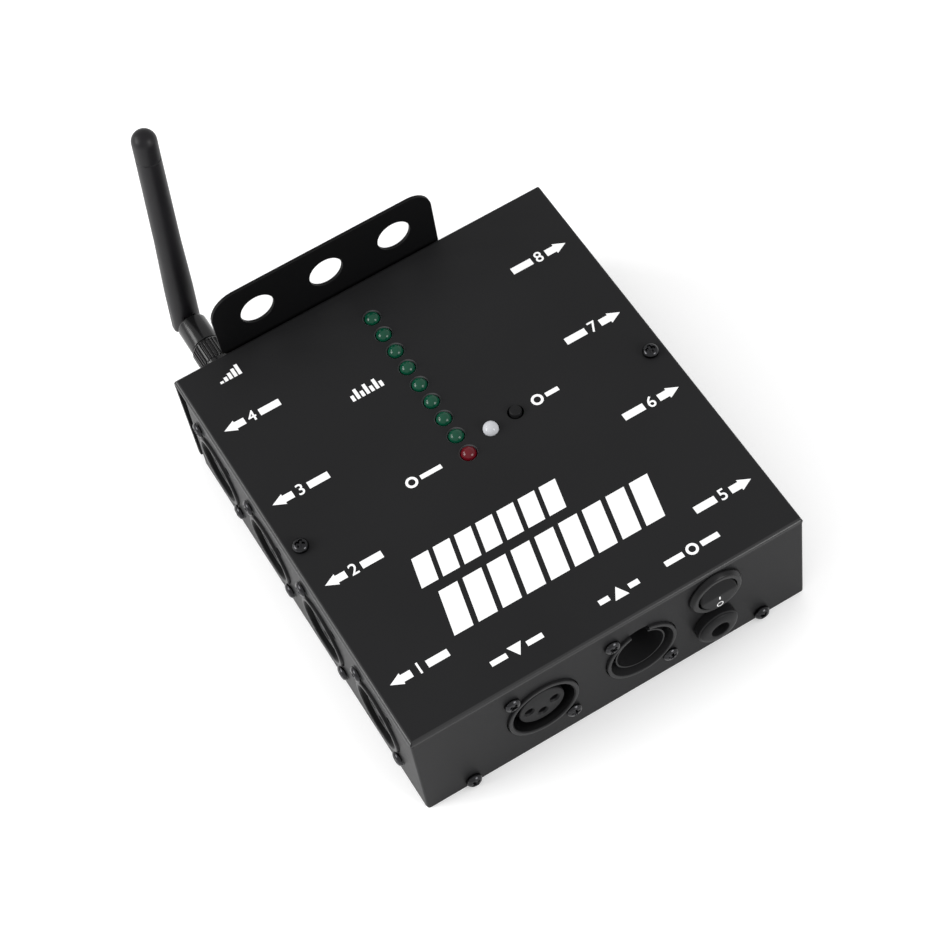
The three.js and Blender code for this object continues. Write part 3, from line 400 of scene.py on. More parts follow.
def panel(outline, holes=(), height=0.0):
    """Triangles between an outline and its holes, in a flat plane."""
    loops = [np.asarray(loop) for loop in (outline, *holes)]
    flat = np.concatenate(loops)
    points = np.column_stack([flat, np.full(len(flat), height)])
    rings = [[(x, y, 0.0) for x, y in loop.tolist()] for loop in loops]
    return points, np.array(tessellate_polygon(rings))


def upright(outline, holes, y):
    """A flat panel that stands across the case at y."""
    flat, faces = panel(outline, holes)
    return np.column_stack([flat[:, 0], np.full(len(flat), y), flat[:, 1]]), faces


def raised(loop, levels):
    """A loop of flat points carried up through the levels as a wall."""
    return surface(np.stack([np.column_stack([loop, np.full(len(loop), z)])
                             for z in levels]), wrap_columns=True)


def prism(outline, low, high, chamfer=0.0):
    """An outline carried up z as rings, its end rings drawn in by the chamfer."""
    outline = np.asarray(outline, float)
    ahead = np.roll(outline, -1, axis=0) - outline
    behind = outline - np.roll(outline, 1, axis=0)
    side = ahead / np.linalg.norm(ahead, axis=1, keepdims=True)
    side = side + behind / np.linalg.norm(behind, axis=1, keepdims=True)
    normal = np.column_stack([side[:, 1], -side[:, 0]])
    normal /= np.linalg.norm(normal, axis=1, keepdims=True)
    inner = outline - normal * chamfer
    levels = [(inner, low), (outline, low + chamfer), (outline, high - chamfer), (inner, high)]
    rings = levels if chamfer else [levels[1], levels[2]]
    grid = np.stack([np.column_stack([ring, np.full(len(ring), z)]) for ring, z in rings])
    walls = surface(grid, wrap_columns=True)
    return [walls, panel(rings[0][0], height=low), panel(rings[-1][0], height=high)]


def merged(parts):
    """Several (points, faces) pairs as one list of points and one of faces."""
    points, faces, start = [], [], 0
    for part_points, part_faces in parts:
        points.append(part_points)
        faces.extend((part_faces + start).tolist())
        start += len(part_points)
    return np.concatenate(points), faces


def make_mesh(name, parts, matrix=None, smooth=SHARP):
    """A mesh of welded surfaces, normals outwards, sharp only past an angle."""
    points, faces = merged(parts)
    if matrix is not None:
        points = placed(points, matrix)
    mesh = bpy.data.meshes.new(name)
    mesh.from_pydata(points.tolist(), [], faces)
    work = bmesh.new()
    work.from_mesh(mesh)
    bmesh.ops.remove_doubles(work, verts=work.verts, dist=WELD)
    bmesh.ops.dissolve_degenerate(work, edges=work.edges, dist=WELD)
    bmesh.ops.recalc_face_normals(work, faces=work.faces)
    work.to_mesh(mesh)
    work.free()
    mesh.shade_smooth()
    mesh.set_sharp_from_angle(angle=smooth)
    return mesh


def mark_creases(mesh):
    """Sharp along open edges and where a flat panel meets a fold.

    A face is flat here if its normal lies along an axis; an edge is sharp if
    it has one face, or a flat one and a curved one.
    """
    normals = np.zeros(3 * len(mesh.polygons))
    mesh.polygons.foreach_get("normal", normals)
    corners = np.zeros(len(mesh.polygons), int)
    mesh.polygons.foreach_get("loop_total", corners)
    edge = np.zeros(len(mesh.loops), int)
    mesh.loops.foreach_get("edge_index", edge)
    flat = np.abs(normals.reshape(-1, 3)).max(axis=1) > 0.99999
    sides = np.bincount(edge, minlength=len(mesh.edges))
    flats = np.bincount(edge, weights=np.repeat(flat, corners), minlength=len(mesh.edges))
    sharp = (sides == 1) | ((flats > 0) & (flats < sides))
    already = np.zeros(len(mesh.edges), bool)
    mesh.edges.foreach_get("use_edge_sharp", already)
    mesh.edges.foreach_set("use_edge_sharp", sharp | already)


def add_piece(name, mesh, finish, body, replaces=()):
    """Links a finished mesh, gives it its finish and lets it ride on a body."""
    piece = bpy.data.objects.new(name, mesh)
    bpy.context.scene.collection.objects.link(piece)
    piece.data.materials.append(material(finish))
    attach(piece, body)
    if replaces:
        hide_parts(*replaces)
    return piece


def dress(name, parts, matrix, finish, body, replaces=(), smooth=SHARP):
    """Makes a piece from surfaces that still have to be placed."""
    return add_piece(name, make_mesh(name, parts, matrix, smooth), finish, body,
                     replaces)


def even_shading(piece):
    """Lets flat faces rule the shading next to narrow folds and bevels."""
    shading = piece.modifiers.new("shading", "WEIGHTED_NORMAL")
    shading.keep_sharp = True
    shading.weight = 60


def carve(piece, parts, matrix=None):
    """Cuts closed surfaces out of a piece and keeps the result as its mesh."""
    cutter = bpy.data.objects.new("cutter", make_mesh("cutter", parts, matrix))
    bpy.context.scene.collection.objects.link(cutter)
    cut = piece.modifiers.new("cut", "BOOLEAN")
    cut.operation = "DIFFERENCE"
    cut.solver = "EXACT"
    cut.object = cutter
    graph = bpy.context.evaluated_depsgraph_get()
    carved = bpy.data.meshes.new_from_object(piece.evaluated_get(graph))
    piece.modifiers.remove(cut)
    old = piece.data
    piece.data = carved
    bpy.data.meshes.remove(old)
    bpy.data.objects.remove(cutter)
    piece.data.shade_smooth()
    piece.data.set_sharp_from_angle(angle=SHARP)


# Shader maths

class Value:
    """A socket whose multiplication adds a Math node."""

    def __init__(self, shader, socket):
        self.shader, self.socket = shader, socket

    def __mul__(self, other):
        return self.shader.maths("MULTIPLY", self, other)

    def __rmul__(self, other):
        return self.shader.maths("MULTIPLY", other, self)


class Shader:
    """A material under construction."""

    def __init__(self, name):
        self.material = bpy.data.materials.new(name)
        self.material.use_nodes = True
        self.tree = self.material.node_tree
        self.surface = self.tree.nodes["Principled BSDF"]

    def node(self, kind, settings=None, inputs=None, output=0):
        """Adds a node: its settings first, then the values or links of its sockets."""
        made = self.tree.nodes.new(kind)
        for name, value in (settings or {}).items():
            setattr(made, name, value)
        pairs = inputs.items() if isinstance(inputs, dict) else enumerate(inputs or [])
        for key, value in pairs:
            self.feed(made.inputs[key], value)
        return Value(self, made.outputs[output])

    def maths(self, operation, *values):
        return self.node("ShaderNodeMath", {"operation": operation}, values)

    def feed(self, socket, value):
        if isinstance(value, Value):
            self.tree.links.new(value.socket, socket)
        else:
            socket.default_value = value

    def set(self, **values):
        """Sets or links the surface's own sockets, spaces written as underscores."""
        for name, value in values.items():
            if isinstance(value, tuple):
                value = (*value, 1.0)
            self.feed(self.surface.inputs[name.replace("_", " ")], value)

    def place(self):
        return self.node("ShaderNodeTexCoord", output="Object")

    def noise(self, scale, detail=2.0, roughness=0.5):
        return self.node("ShaderNodeTexNoise", {}, {
            "Vector": self.place(), "Scale": scale, "Detail": detail, "Roughness": roughness})

    def ramp(self, value, low, high, bottom=0.0, top=1.0):
        """Maps low..high to bottom..top and holds the ends."""
        return self.node("ShaderNodeMapRange", {}, {
            "Value": value, "From Min": low, "From Max": high, "To Min": bottom,
            "To Max": top})

    def uneven(self, cloud, value, below, above):
        """A value that follows the middle of a noise, from -below to +above."""
        return self.ramp(cloud, 0.3, 0.7, value - below, value + above)

    def mix(self, share, first, second):
        return self.node("ShaderNodeMix", {"data_type": "RGBA"},
                         {0: share, 6: (*first, 1.0), 7: (*second, 1.0)}, output=2)

    def tinted(self, share, base, dark, light):
        """The base colour, between two gains."""
        return self.mix(share, scaled(base, dark), scaled(base, light))

    def bump(self, height, distance, strength):
        self.feed(self.surface.inputs["Normal"], self.node("ShaderNodeBump", {}, {
            "Height": height, "Distance": distance, "Strength": strength}))


def scaled(colour_value, gain):
    return tuple(min(channel * gain, 1.0) for channel in colour_value)


def fold_mask(shader, case):
    """One on the left and front folds, zero elsewhere, from Object coordinates."""
    axes = [shader.node("ShaderNodeSeparateXYZ", {}, [shader.place()], axis) for axis in range(3)]
    step = 0.1 * MM
    past = [shader.ramp(axis * sign, high - case.bend, high - case.bend + step)
            for axis, sign, high in zip(axes, (-1, -1, 1), COVER_HIGH.tolist())]
    return shader.maths("MAXIMUM", *past[:2]) * past[2]


def powder_coat(name, base, roughness, grain, gloss, folds=0.0):
    """Powder coat: fine orange peel, faint cloudy gloss, a shine along the folds."""
    coat = Shader(name)
    cloud = coat.noise(14.0, 3.0)
    coat.set(
        Base_Color=coat.tinted(coat.ramp(cloud, 0.35, 0.7), base, 0.94, 1.08),
        Roughness=coat.uneven(cloud, roughness, 0.02, 0.03),
        Specular_IOR_Level=gloss,
    )
    if folds:
        shine = fold_mask(coat, bpy.context.scene.splitter_case)
        coat.set(Coat_Weight=shine * folds, Coat_Roughness=0.26)
    coat.bump(coat.noise(grain, 3.0, 0.6), 0.06 * MM, 0.5)
    return coat.material


def moulded_plastic(name, base, roughness, gloss, grain=900.0):
    """Moulded plastic: even colour, fine mould grain and slight gloss changes."""
    plastic = Shader(name)
    cloud = plastic.noise(60.0)
    plastic.set(
        Base_Color=plastic.tinted(cloud, base, 0.92, 1.1),
        Roughness=plastic.uneven(cloud, roughness, 0.03, 0.04),
        Specular_IOR_Level=gloss,
    )
    plastic.bump(plastic.noise(grain), 0.03 * MM, 0.35)
    return plastic.material


def plated_metal(name, base, roughness, grain=260.0):
    """Plated steel: metal with fine marks and uneven gloss."""
    metal = Shader(name)
    cloud = metal.noise(grain, 3.0)
    metal.set(
        Metallic=1.0,
        Base_Color=metal.tinted(cloud, base, 0.8, 1.15),
        Roughness=metal.uneven(cloud, roughness, 0.06, 0.08),
    )
    metal.bump(metal.noise(grain * 5), 0.02 * MM, 0.3)
    return metal.material


def lamp_resin(name, base, depth):
    """Tinted resin: the base colour at its rim, depth times as light in its middle; the lighter
    rim, which follows the view, is painted light gathered in the lens.
    """
    resin = Shader(name)
    rim = resin.node("ShaderNodeLayerWeight", {}, {"Blend": 0.35}, output="Facing")
    resin.set(Base_Color=resin.tinted(rim, base, depth, 1), Roughness=0.13, IOR=1.45,
              Specular_IOR_Level=0.36)
    return resin.material


def circuit_board(name, base, track):
    """Solder mask over fine tracks of a lighter colour."""
    board = Shader(name)
    tracks = board.node("ShaderNodeTexBrick", {},
                        {"Vector": board.place(), "Scale": 160.0, "Mortar Size": 0.03},
                        output="Fac")
    board.set(Base_Color=board.mix(tracks, base, track), Roughness=0.35)
    board.bump(tracks, 0.04 * MM, 0.4)
    return board.material


def printed_ink(name, base):
    """Screen printed ink: near white with faint unevenness."""
    ink = Shader(name)
    ink.set(Base_Color=ink.tinted(ink.noise(400.0), base, 0.93, 1), Roughness=0.5)
    return ink.material


def studio_floor(name, base):
    """Matt paper sweep with the faintest mottling, and a little light of its own."""
    paper = Shader(name)
    paper.set(Base_Color=paper.tinted(paper.noise(3.0), base, 0.995, 1), Roughness=0.9,
              Emission_Color=(1.0, 1.0, 1.0), Emission_Strength=0.14)
    return paper.material


# Each finish: its maker, its colour or a colour property with a gain, the maker's values
FINISHES = {
    "powder_coat": (powder_coat, "paint", 1, dict(
        roughness=0.38, grain=1400.0, gloss=0.055, folds=0.65)),
    "bracket_coat": (powder_coat, "plate", 1, dict(roughness=0.5, grain=1400.0, gloss=0.11)),
    "socket_zinc": (powder_coat, "paint", 1, dict(roughness=0.33, grain=2200.0, gloss=0.12)),
    "black_moulding": (moulded_plastic, "moulding", 1, dict(roughness=0.42, gloss=0.1)),
    "gloss_moulding": (moulded_plastic, "moulding", 1, dict(roughness=0.28, gloss=0.14)),
    "satin_moulding": (moulded_plastic, "moulding", 0.6, dict(roughness=0.2, gloss=0.34)),
    # the male cup's insulator: the moulding two and a half times as light, painted light at the
    # cup's floor
    "cup_moulding": (moulded_plastic, "moulding", 2.5, dict(roughness=0.4, gloss=0.3)),
    # socket bores: the moulding at three tenths, a dark sheet of painted shade
    "dark_lining": (moulded_plastic, "moulding", 0.3, dict(roughness=0.3, gloss=0.08)),
    "antenna_skin": (moulded_plastic, "rubber", 1, dict(
        roughness=0.42, gloss=0.22, grain=1600.0)),
    # lamp hole edges: the paint four and a half times as light, a painted highlight
    "hole_edge": (moulded_plastic, "paint", 4.5, dict(roughness=0.3, gloss=0.5)),
    # dark plated steel of the screws; on the male pins it is painted shade, darker than real
    # contacts
    "dark_zinc": (plated_metal, "steel", 1, dict(roughness=0.17)),
    "bright_zinc": (plated_metal, (0.45, 0.45, 0.47), 1, dict(roughness=0.32)),
    "gold_plate": (plated_metal, (0.75, 0.52, 0.2), 1, dict(roughness=0.28)),
    "board": (circuit_board, (0.012, 0.09, 0.03), 1, dict(track=(0.03, 0.16, 0.06))),
    # lens colours lighter at the rim where the view grazes them: painted light
    "green_resin": (lamp_resin, "green", 1, dict(depth=0.8)),
    "red_resin": (lamp_resin, "red", 1, dict(depth=0.8)),
    "clear_resin": (lamp_resin, "clear", 1, dict(depth=0.7)),
    "ink": (printed_ink, "print_ink", 1, {}),
    "floor": (studio_floor, "floor", 1, {}),
}
MATERIALS = {}


def material(name):
    """Each finish is made once, on first use."""
    if name not in MATERIALS:
        maker, base, gain, values = FINISHES[name]
        if isinstance(base, str):
            base = getattr(bpy.context.scene.splitter_finishes, base)
        MATERIALS[name] = maker(name, scaled(base, gain), **values)
    return MATERIALS[name]


def finish_node(node, name):
    """Gives a solid that stays in view its finish."""
    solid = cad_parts[node]
    solid.data.materials.clear()
    solid.data.materials.append(material(name))


def centre_of(node):
    low, high = box_of(node)
    return (low + high) / 2


def holes_at(nodes, plane, radius, steps):
    """A round hole at the middle of each node, in the plane of two axes."""
    return [circle(*centre_of(node)[plane], radius, steps) for node in nodes]


def socket_frames():
    """Wall frame of each socket, from where its flange lies in the frame."""
    frames = {}
    for name in [*FEMALE_SOCKETS, "in"]:
        x, y, z = centre_of(f"{name}_shell")
        if name in ("in", "thru"):
            frames[name] = front_frame(x, z)
        else:
            frames[name] = left_frame(y, z) if x < 0 else right_frame(y, z)
    return frames


# Cover and bracket

def bend_strip(along, out, start, case, stations):
    """A fold: out = W - r + r sin t and drop = r - r cos t, carried along a line.

    along and out are unit vectors and stations are places on the line. Both
    ends run on by (r - gap) sin t, so that two folds meet at a corner.
    """
    turn = np.linspace(0, np.pi / 2, 9)[:, None]
    run = (case.bend - case.notch) * np.sin(turn)
    places = np.tile(np.asarray(stations, float), (len(turn), 1))
    places = np.hstack([places[:, :1] - run, places, places[:, -1:] + run])[:, :, None]
    reach = (case.bend * (np.sin(turn) - 1))[:, :, None]
    fall = (case.bend * (1 - np.cos(turn)))[:, :, None]
    return surface(start + reach * np.array(out) - fall * np.array((0, 0, 1.0))
                   + places * np.array(along))


def tab_sinks(case):
    """How far the upright fold lies inwards at its top and, in scale, its foot."""
    reach = case.tab_foot - case.corner_bend
    return case.tab_sink, case.tab_sink * reach / (case.tab_top - case.corner_bend)


class SPLITTER_OT_cover(bpy.types.Operator):
    """Fold the case cover from one sheet, with its holes, seams and slots."""

    bl_idname = "splitter.cover"
    bl_label = "Case cover"

    def execute(self, context):
        case = context.scene.splitter_case
        wide, deep, top = COVER_HIGH
        bend_foot = top - case.bend
        lid_x, lid_y = wide - case.bend, deep - case.bend
        notch_foot = bend_foot - case.notch_drop
        side_front = -deep + case.tab_top + case.seam
        side_rear = deep - case.slot_top
        parts = [self.lid(case, lid_x, lid_y, top)]
        for side in (-1, 1):
            parts.append(bend_strip((0, 1, 0), (side, 0, 0), np.array((side * wide, 0, top)),
                                    case, [-lid_y, side_front, side_rear, lid_y]))
            parts.append(self.side_wall(case, side, side_front, side_rear, bend_foot))
            parts.append(self.corner_tab(case, side, notch_foot))
        for end in (-1, 1):
            parts.append(bend_strip((1, 0, 0), (0, end, 0), np.array((0, end * deep, top)),
                                    case, [-lid_x, lid_x]))
        parts.append(self.front_wall(case, lid_x, bend_foot, notch_foot))
        parts.append(self.rear_wall(case, lid_x, bend_foot, notch_foot))
        mesh = make_mesh("case_cover", parts)
        self.face_outwards(mesh)
        mark_creases(mesh)
        cover = add_piece("case_cover", mesh, "powder_coat", "case",
                          ["top_cover"])
        wall = cover.modifiers.new("sheet", "SOLIDIFY")
        wall.thickness = case.sheet
        wall.offset = -1
        wall.use_even_offset = True
        even_shading(cover)
        return {"FINISHED"}

    def lid(self, case, lid_x, lid_y, top):
        holes = [
            *holes_at([*SIGNAL_LAMPS, "power_lamp"], LID, case.lamp_hole, SMALL_STEPS),
            *holes_at(["pairing_lamp"], LID, case.lamp_hole - RIM_WIDTH, SMALL_STEPS),
            *holes_at(LID_SCREWS, LID, case.screw_hole, SCREW_STEPS),
            *holes_at(["button_cap"], LID, case.button_hole, SMALL_STEPS),
        ]
        return panel(rectangle(-lid_x, lid_x, -lid_y, lid_y), holes, top)

    def side_wall(self, case, side, front, rear, bend_foot):
        """A trapezoid whose ends slope in towards the lid."""
        foot, deep = COVER_LOW[2], COVER_HIGH[1]
        outline = [
            (front - case.tab_top + case.tab_foot, foot), (deep - case.slot_foot, foot),
            (rear, bend_foot), (front, bend_foot),
        ]
        holes = []
        for name, matrix in socket_frames().items():
            x, y, z = matrix[:3, 3]
            if x * side > 0 and name not in ("in", "thru"):
                holes += socket_holes(case, y, z, side)
        flat, faces = panel(outline, holes)
        return np.column_stack([np.full(len(flat), side * COVER_HIGH[0]), flat[:, :2]]), faces

    def corner_tab(self, case, side, top):
        """The front wall's upright fold and return tab, as one swept line."""
        wide, deep, foot = COVER_HIGH[0], COVER_HIGH[1], COVER_LOW[2]
        bend = case.corner_bend
        turn = np.linspace(0, np.pi / 2, 7)
        low = foot + case.flap_corner * (1 - np.cos(turn))
        share = np.linspace(0, 1, 7)[1:]
        upper, lower = [
            np.column_stack([
                np.concatenate([wide - sink - bend + bend * np.sin(turn),
                                wide - sink * (1 - share)]),
                np.concatenate([-deep + bend - bend * np.cos(turn),
                                -deep + bend + (width - bend) * share]),
            ]) for width, sink in zip((case.tab_top, case.tab_foot), tab_sinks(case))]
        low = np.concatenate([low, np.full(len(share), low[-1])])
        high = np.full(len(low), top)
        high[:len(turn)] -= case.relief * np.sin(2 * turn)
        grid = np.stack([
            np.column_stack([lower, low]),
            np.column_stack([upper, high]),
        ])
        grid[:, :, 0] *= side
        return surface(grid)

    def front_wall(self, case, lid_x, bend_foot, notch_foot):
        foot = COVER_LOW[2]
        flat_top, flat_foot = [COVER_HIGH[0] - sink - case.corner_bend
                               for sink in tab_sinks(case)]
        outline = [(-flat_foot, foot), (flat_foot, foot), (flat_top, notch_foot),
                   (lid_x, notch_foot), (lid_x, bend_foot), (-lid_x, bend_foot),
                   (-lid_x, notch_foot), (-flat_top, notch_foot)]
        holes = []
        for name in ("in", "thru"):
            x, _, z = socket_frames()[name][:3, 3]
            holes += socket_holes(case, x, z, -1)
        holes += holes_at(["switch_housing"], UPRIGHT, case.switch_hole, LENS_STEPS)
        holes += holes_at(["power_inlet"], UPRIGHT, case.inlet_hole, LENS_STEPS)
        holes += holes_at(CASE_SCREWS[:2], UPRIGHT, case.screw_hole, SCREW_STEPS)
        return upright(outline, holes, COVER_LOW[1])

    def rear_wall(self, case, lid_x, bend_foot, notch_foot):
        foot, wide = COVER_LOW[2], COVER_HIGH[0]
        outline = rounded(
            [(-wide, foot), (wide, foot), (wide, notch_foot), (lid_x, notch_foot),
             (lid_x, bend_foot), (-lid_x, bend_foot), (-lid_x, notch_foot),
             (-wide, notch_foot)],
            [case.flap_corner, case.flap_corner, 0, 0, 0, 0, 0, 0],
        )
        holes = [
            *holes_at(["antenna_jack"], UPRIGHT, case.jack_hole, SMALL_STEPS),
            *holes_at([*CASE_SCREWS[2:], *BRACKET_SCREWS], UPRIGHT, case.screw_hole,
                      SCREW_STEPS),
        ]
        return upright(outline, holes, COVER_HIGH[1])

    def face_outwards(self, mesh):
        """The open sheet's normals point away from the case's middle."""
        work = bmesh.new()
        work.from_mesh(mesh)
        work.faces.ensure_lookup_table()
        highest = max(work.faces, key=lambda face: face.calc_center_median().z)
        if highest.normal.z < 0:
            bmesh.ops.reverse_faces(work, faces=work.faces)
        work.to_mesh(mesh)
        work.free()


def socket_holes(case, across, up, hand):
    """The round hole of a socket and the two holes of its fixing screws."""
    sockets = bpy.context.scene.splitter_sockets
    holes = [circle(across, up, case.socket_hole, SOCKET_STEPS)]
    for side in (-1, 1):
        holes.append(circle(across - hand * side * sockets.screw_x,
                            up - side * sockets.screw_z, case.screw_hole, SCREW_STEPS))
    return holes


class SPLITTER_OT_bracket(bpy.types.Operator):
    """Cut the hanging bracket from plate, with its round holes."""

    bl_idname = "splitter.bracket"
    bl_label = "Hanging bracket"

    def execute(self, context):
        case = context.scene.splitter_case
        (x0, _, z0), (x1, y1, z1) = BRACKET_LOW, BRACKET_HIGH
        x0, x1 = x0 + case.bracket_shift, x1 + case.bracket_shift
        lid = COVER_HIGH[2]
        inner, outer = x0 + case.bracket_taper, x0 - case.bracket_reach
        outline = rounded(
            [(inner, z0), (x1, z0), (x1, z1), (outer, z1), (outer, lid),
             (inner, lid - case.bracket_taper_drop)],
            [case.bracket_foot, case.bracket_foot, case.bracket_corner, case.bracket_round,
             0, 0],
            steps=8,
        )
        middle = (x0 + x1) / 2
        holes = [circle(middle + step * case.hanging_pitch, lid + case.hanging_rise,
                        case.hanging_hole) for step in (-1, 0, 1)]
        holes += holes_at(BRACKET_SCREWS, UPRIGHT, case.screw_hole, SCREW_STEPS)
        mesh = make_mesh("bracket_plate",
                         [upright(outline, holes, y1 - case.bracket_sheet)])
        mark_creases(mesh)
        plate = add_piece("bracket_plate", mesh, "bracket_coat", "case",
                          ["hanging_bracket"])
        forward = mesh.polygons[0].normal.y < 0
        wall = plate.modifiers.new("plate", "SOLIDIFY")
        wall.thickness = case.bracket_sheet
        wall.offset = -1 if forward else 1
        edge = plate.modifiers.new("edge", "BEVEL")
        edge.width = case.bracket_edge
        edge.segments = 2
        edge.limit_method = "ANGLE"
        even_shading(plate)
        return {"FINISHED"}


# Screws

def pan_head(fittings, seat, high):
    """A pan head with a cross recess.

    Height is a flattened dome, high x (1 - 0.62 share^5) with share as the
    part of the radius; the recess lowers it where a point lies within either
    arm, faded by a smooth step across the arm's edge.
    """
    share = np.concatenate([np.linspace(0, 0.62, 22), np.linspace(0.66, 1, 14)])
    turn = np.linspace(0, 2 * np.pi, HEAD_STEPS, endpoint=False)[:, None]
    radius = share[None, :] * fittings.head
    x, y = radius * np.cos(turn), radius * np.sin(turn)
    dome = high * (1 - 0.62 * share[None, :] ** 5)
    arm = np.minimum(np.abs(x), np.abs(y))
    reach = np.maximum(np.abs(x), np.abs(y))
    inside = smooth_step(fittings.recess_width * 1.25, fittings.recess_width * 0.7, arm)
    inside = inside * smooth_step(fittings.recess * 1.1, fittings.recess * 0.8, reach)
    z = seat + dome - inside * fittings.recess_depth * (1 - 0.35 * reach / fittings.recess)
    top = np.stack([x, y, z], axis=2)
    end = seat - fittings.shank_length
    skirt = turned([(fittings.head, seat + dome[0, -1]), (fittings.head, seat),
                    (fittings.shank, seat), (fittings.shank, end), (0, end)], HEAD_STEPS)
    return [surface(top, wrap_rows=True), skirt]


def smooth_step(start, end, value):
    """Zero before start, one past end, 3t^2 - 2t^3 between."""
    t = np.clip((value - start) / (end - start), 0, 1)
    return t * t * (3 - 2 * t)


def screw_turn(name):
    """A fixed turn of the recess for each screw, from the letters of its name."""
    return math.radians(sum(map(ord, name)) * 37 % 90)


class SPLITTER_OT_screws(bpy.types.Operator):
    """Make the case, lid and bracket screws with their cross recesses."""

    bl_idname = "splitter.screws"
    bl_label = "Screws"

    def execute(self, context):
        fittings = context.scene.splitter_fittings
        for node in CASE_SCREWS[:2]:
            self.add(fittings, node, front_frame, GAP)
        for node in CASE_SCREWS[2:]:
            self.add(fittings, node, rear_frame, GAP)
        plate = BRACKET_HIGH[1] - BRACKET_LOW[1]
        for node in BRACKET_SCREWS:
            self.add(fittings, node, rear_frame, 2 * GAP + plate)
        for node in LID_SCREWS:
            self.add(fittings, node, lid_frame, GAP, LID)
        for node in ("base_left_screw", "base_right_screw"):
            finish_node(node, "dark_zinc")
        return {"FINISHED"}

    def add(self, fittings, node, frame_for, seat, plane=UPRIGHT):
        matrix = frame_for(*centre_of(node)[plane]) @ turned_about("Z", screw_turn(node))
        dress(node + "_dressed", pan_head(fittings, seat, fittings.head_height), matrix,
              "dark_zinc", "case", [node])


# Sockets

def socket_shell(sockets, inside):
    """A shell's closed section: outside from back to ring, then the given inside."""
    outline = [
        (sockets.bore, -sockets.reach), (sockets.body, -sockets.reach),
        (sockets.body, WALL_BACK), (sockets.ring, WALL_BACK), (sockets.ring, sockets.proud),
        (sockets.rim, sockets.proud), *inside,
    ]
    soft = [0, 0, 0, 0, sockets.edge, sockets.rim_edge] + [0] * len(inside)
    return rounded(outline, soft)


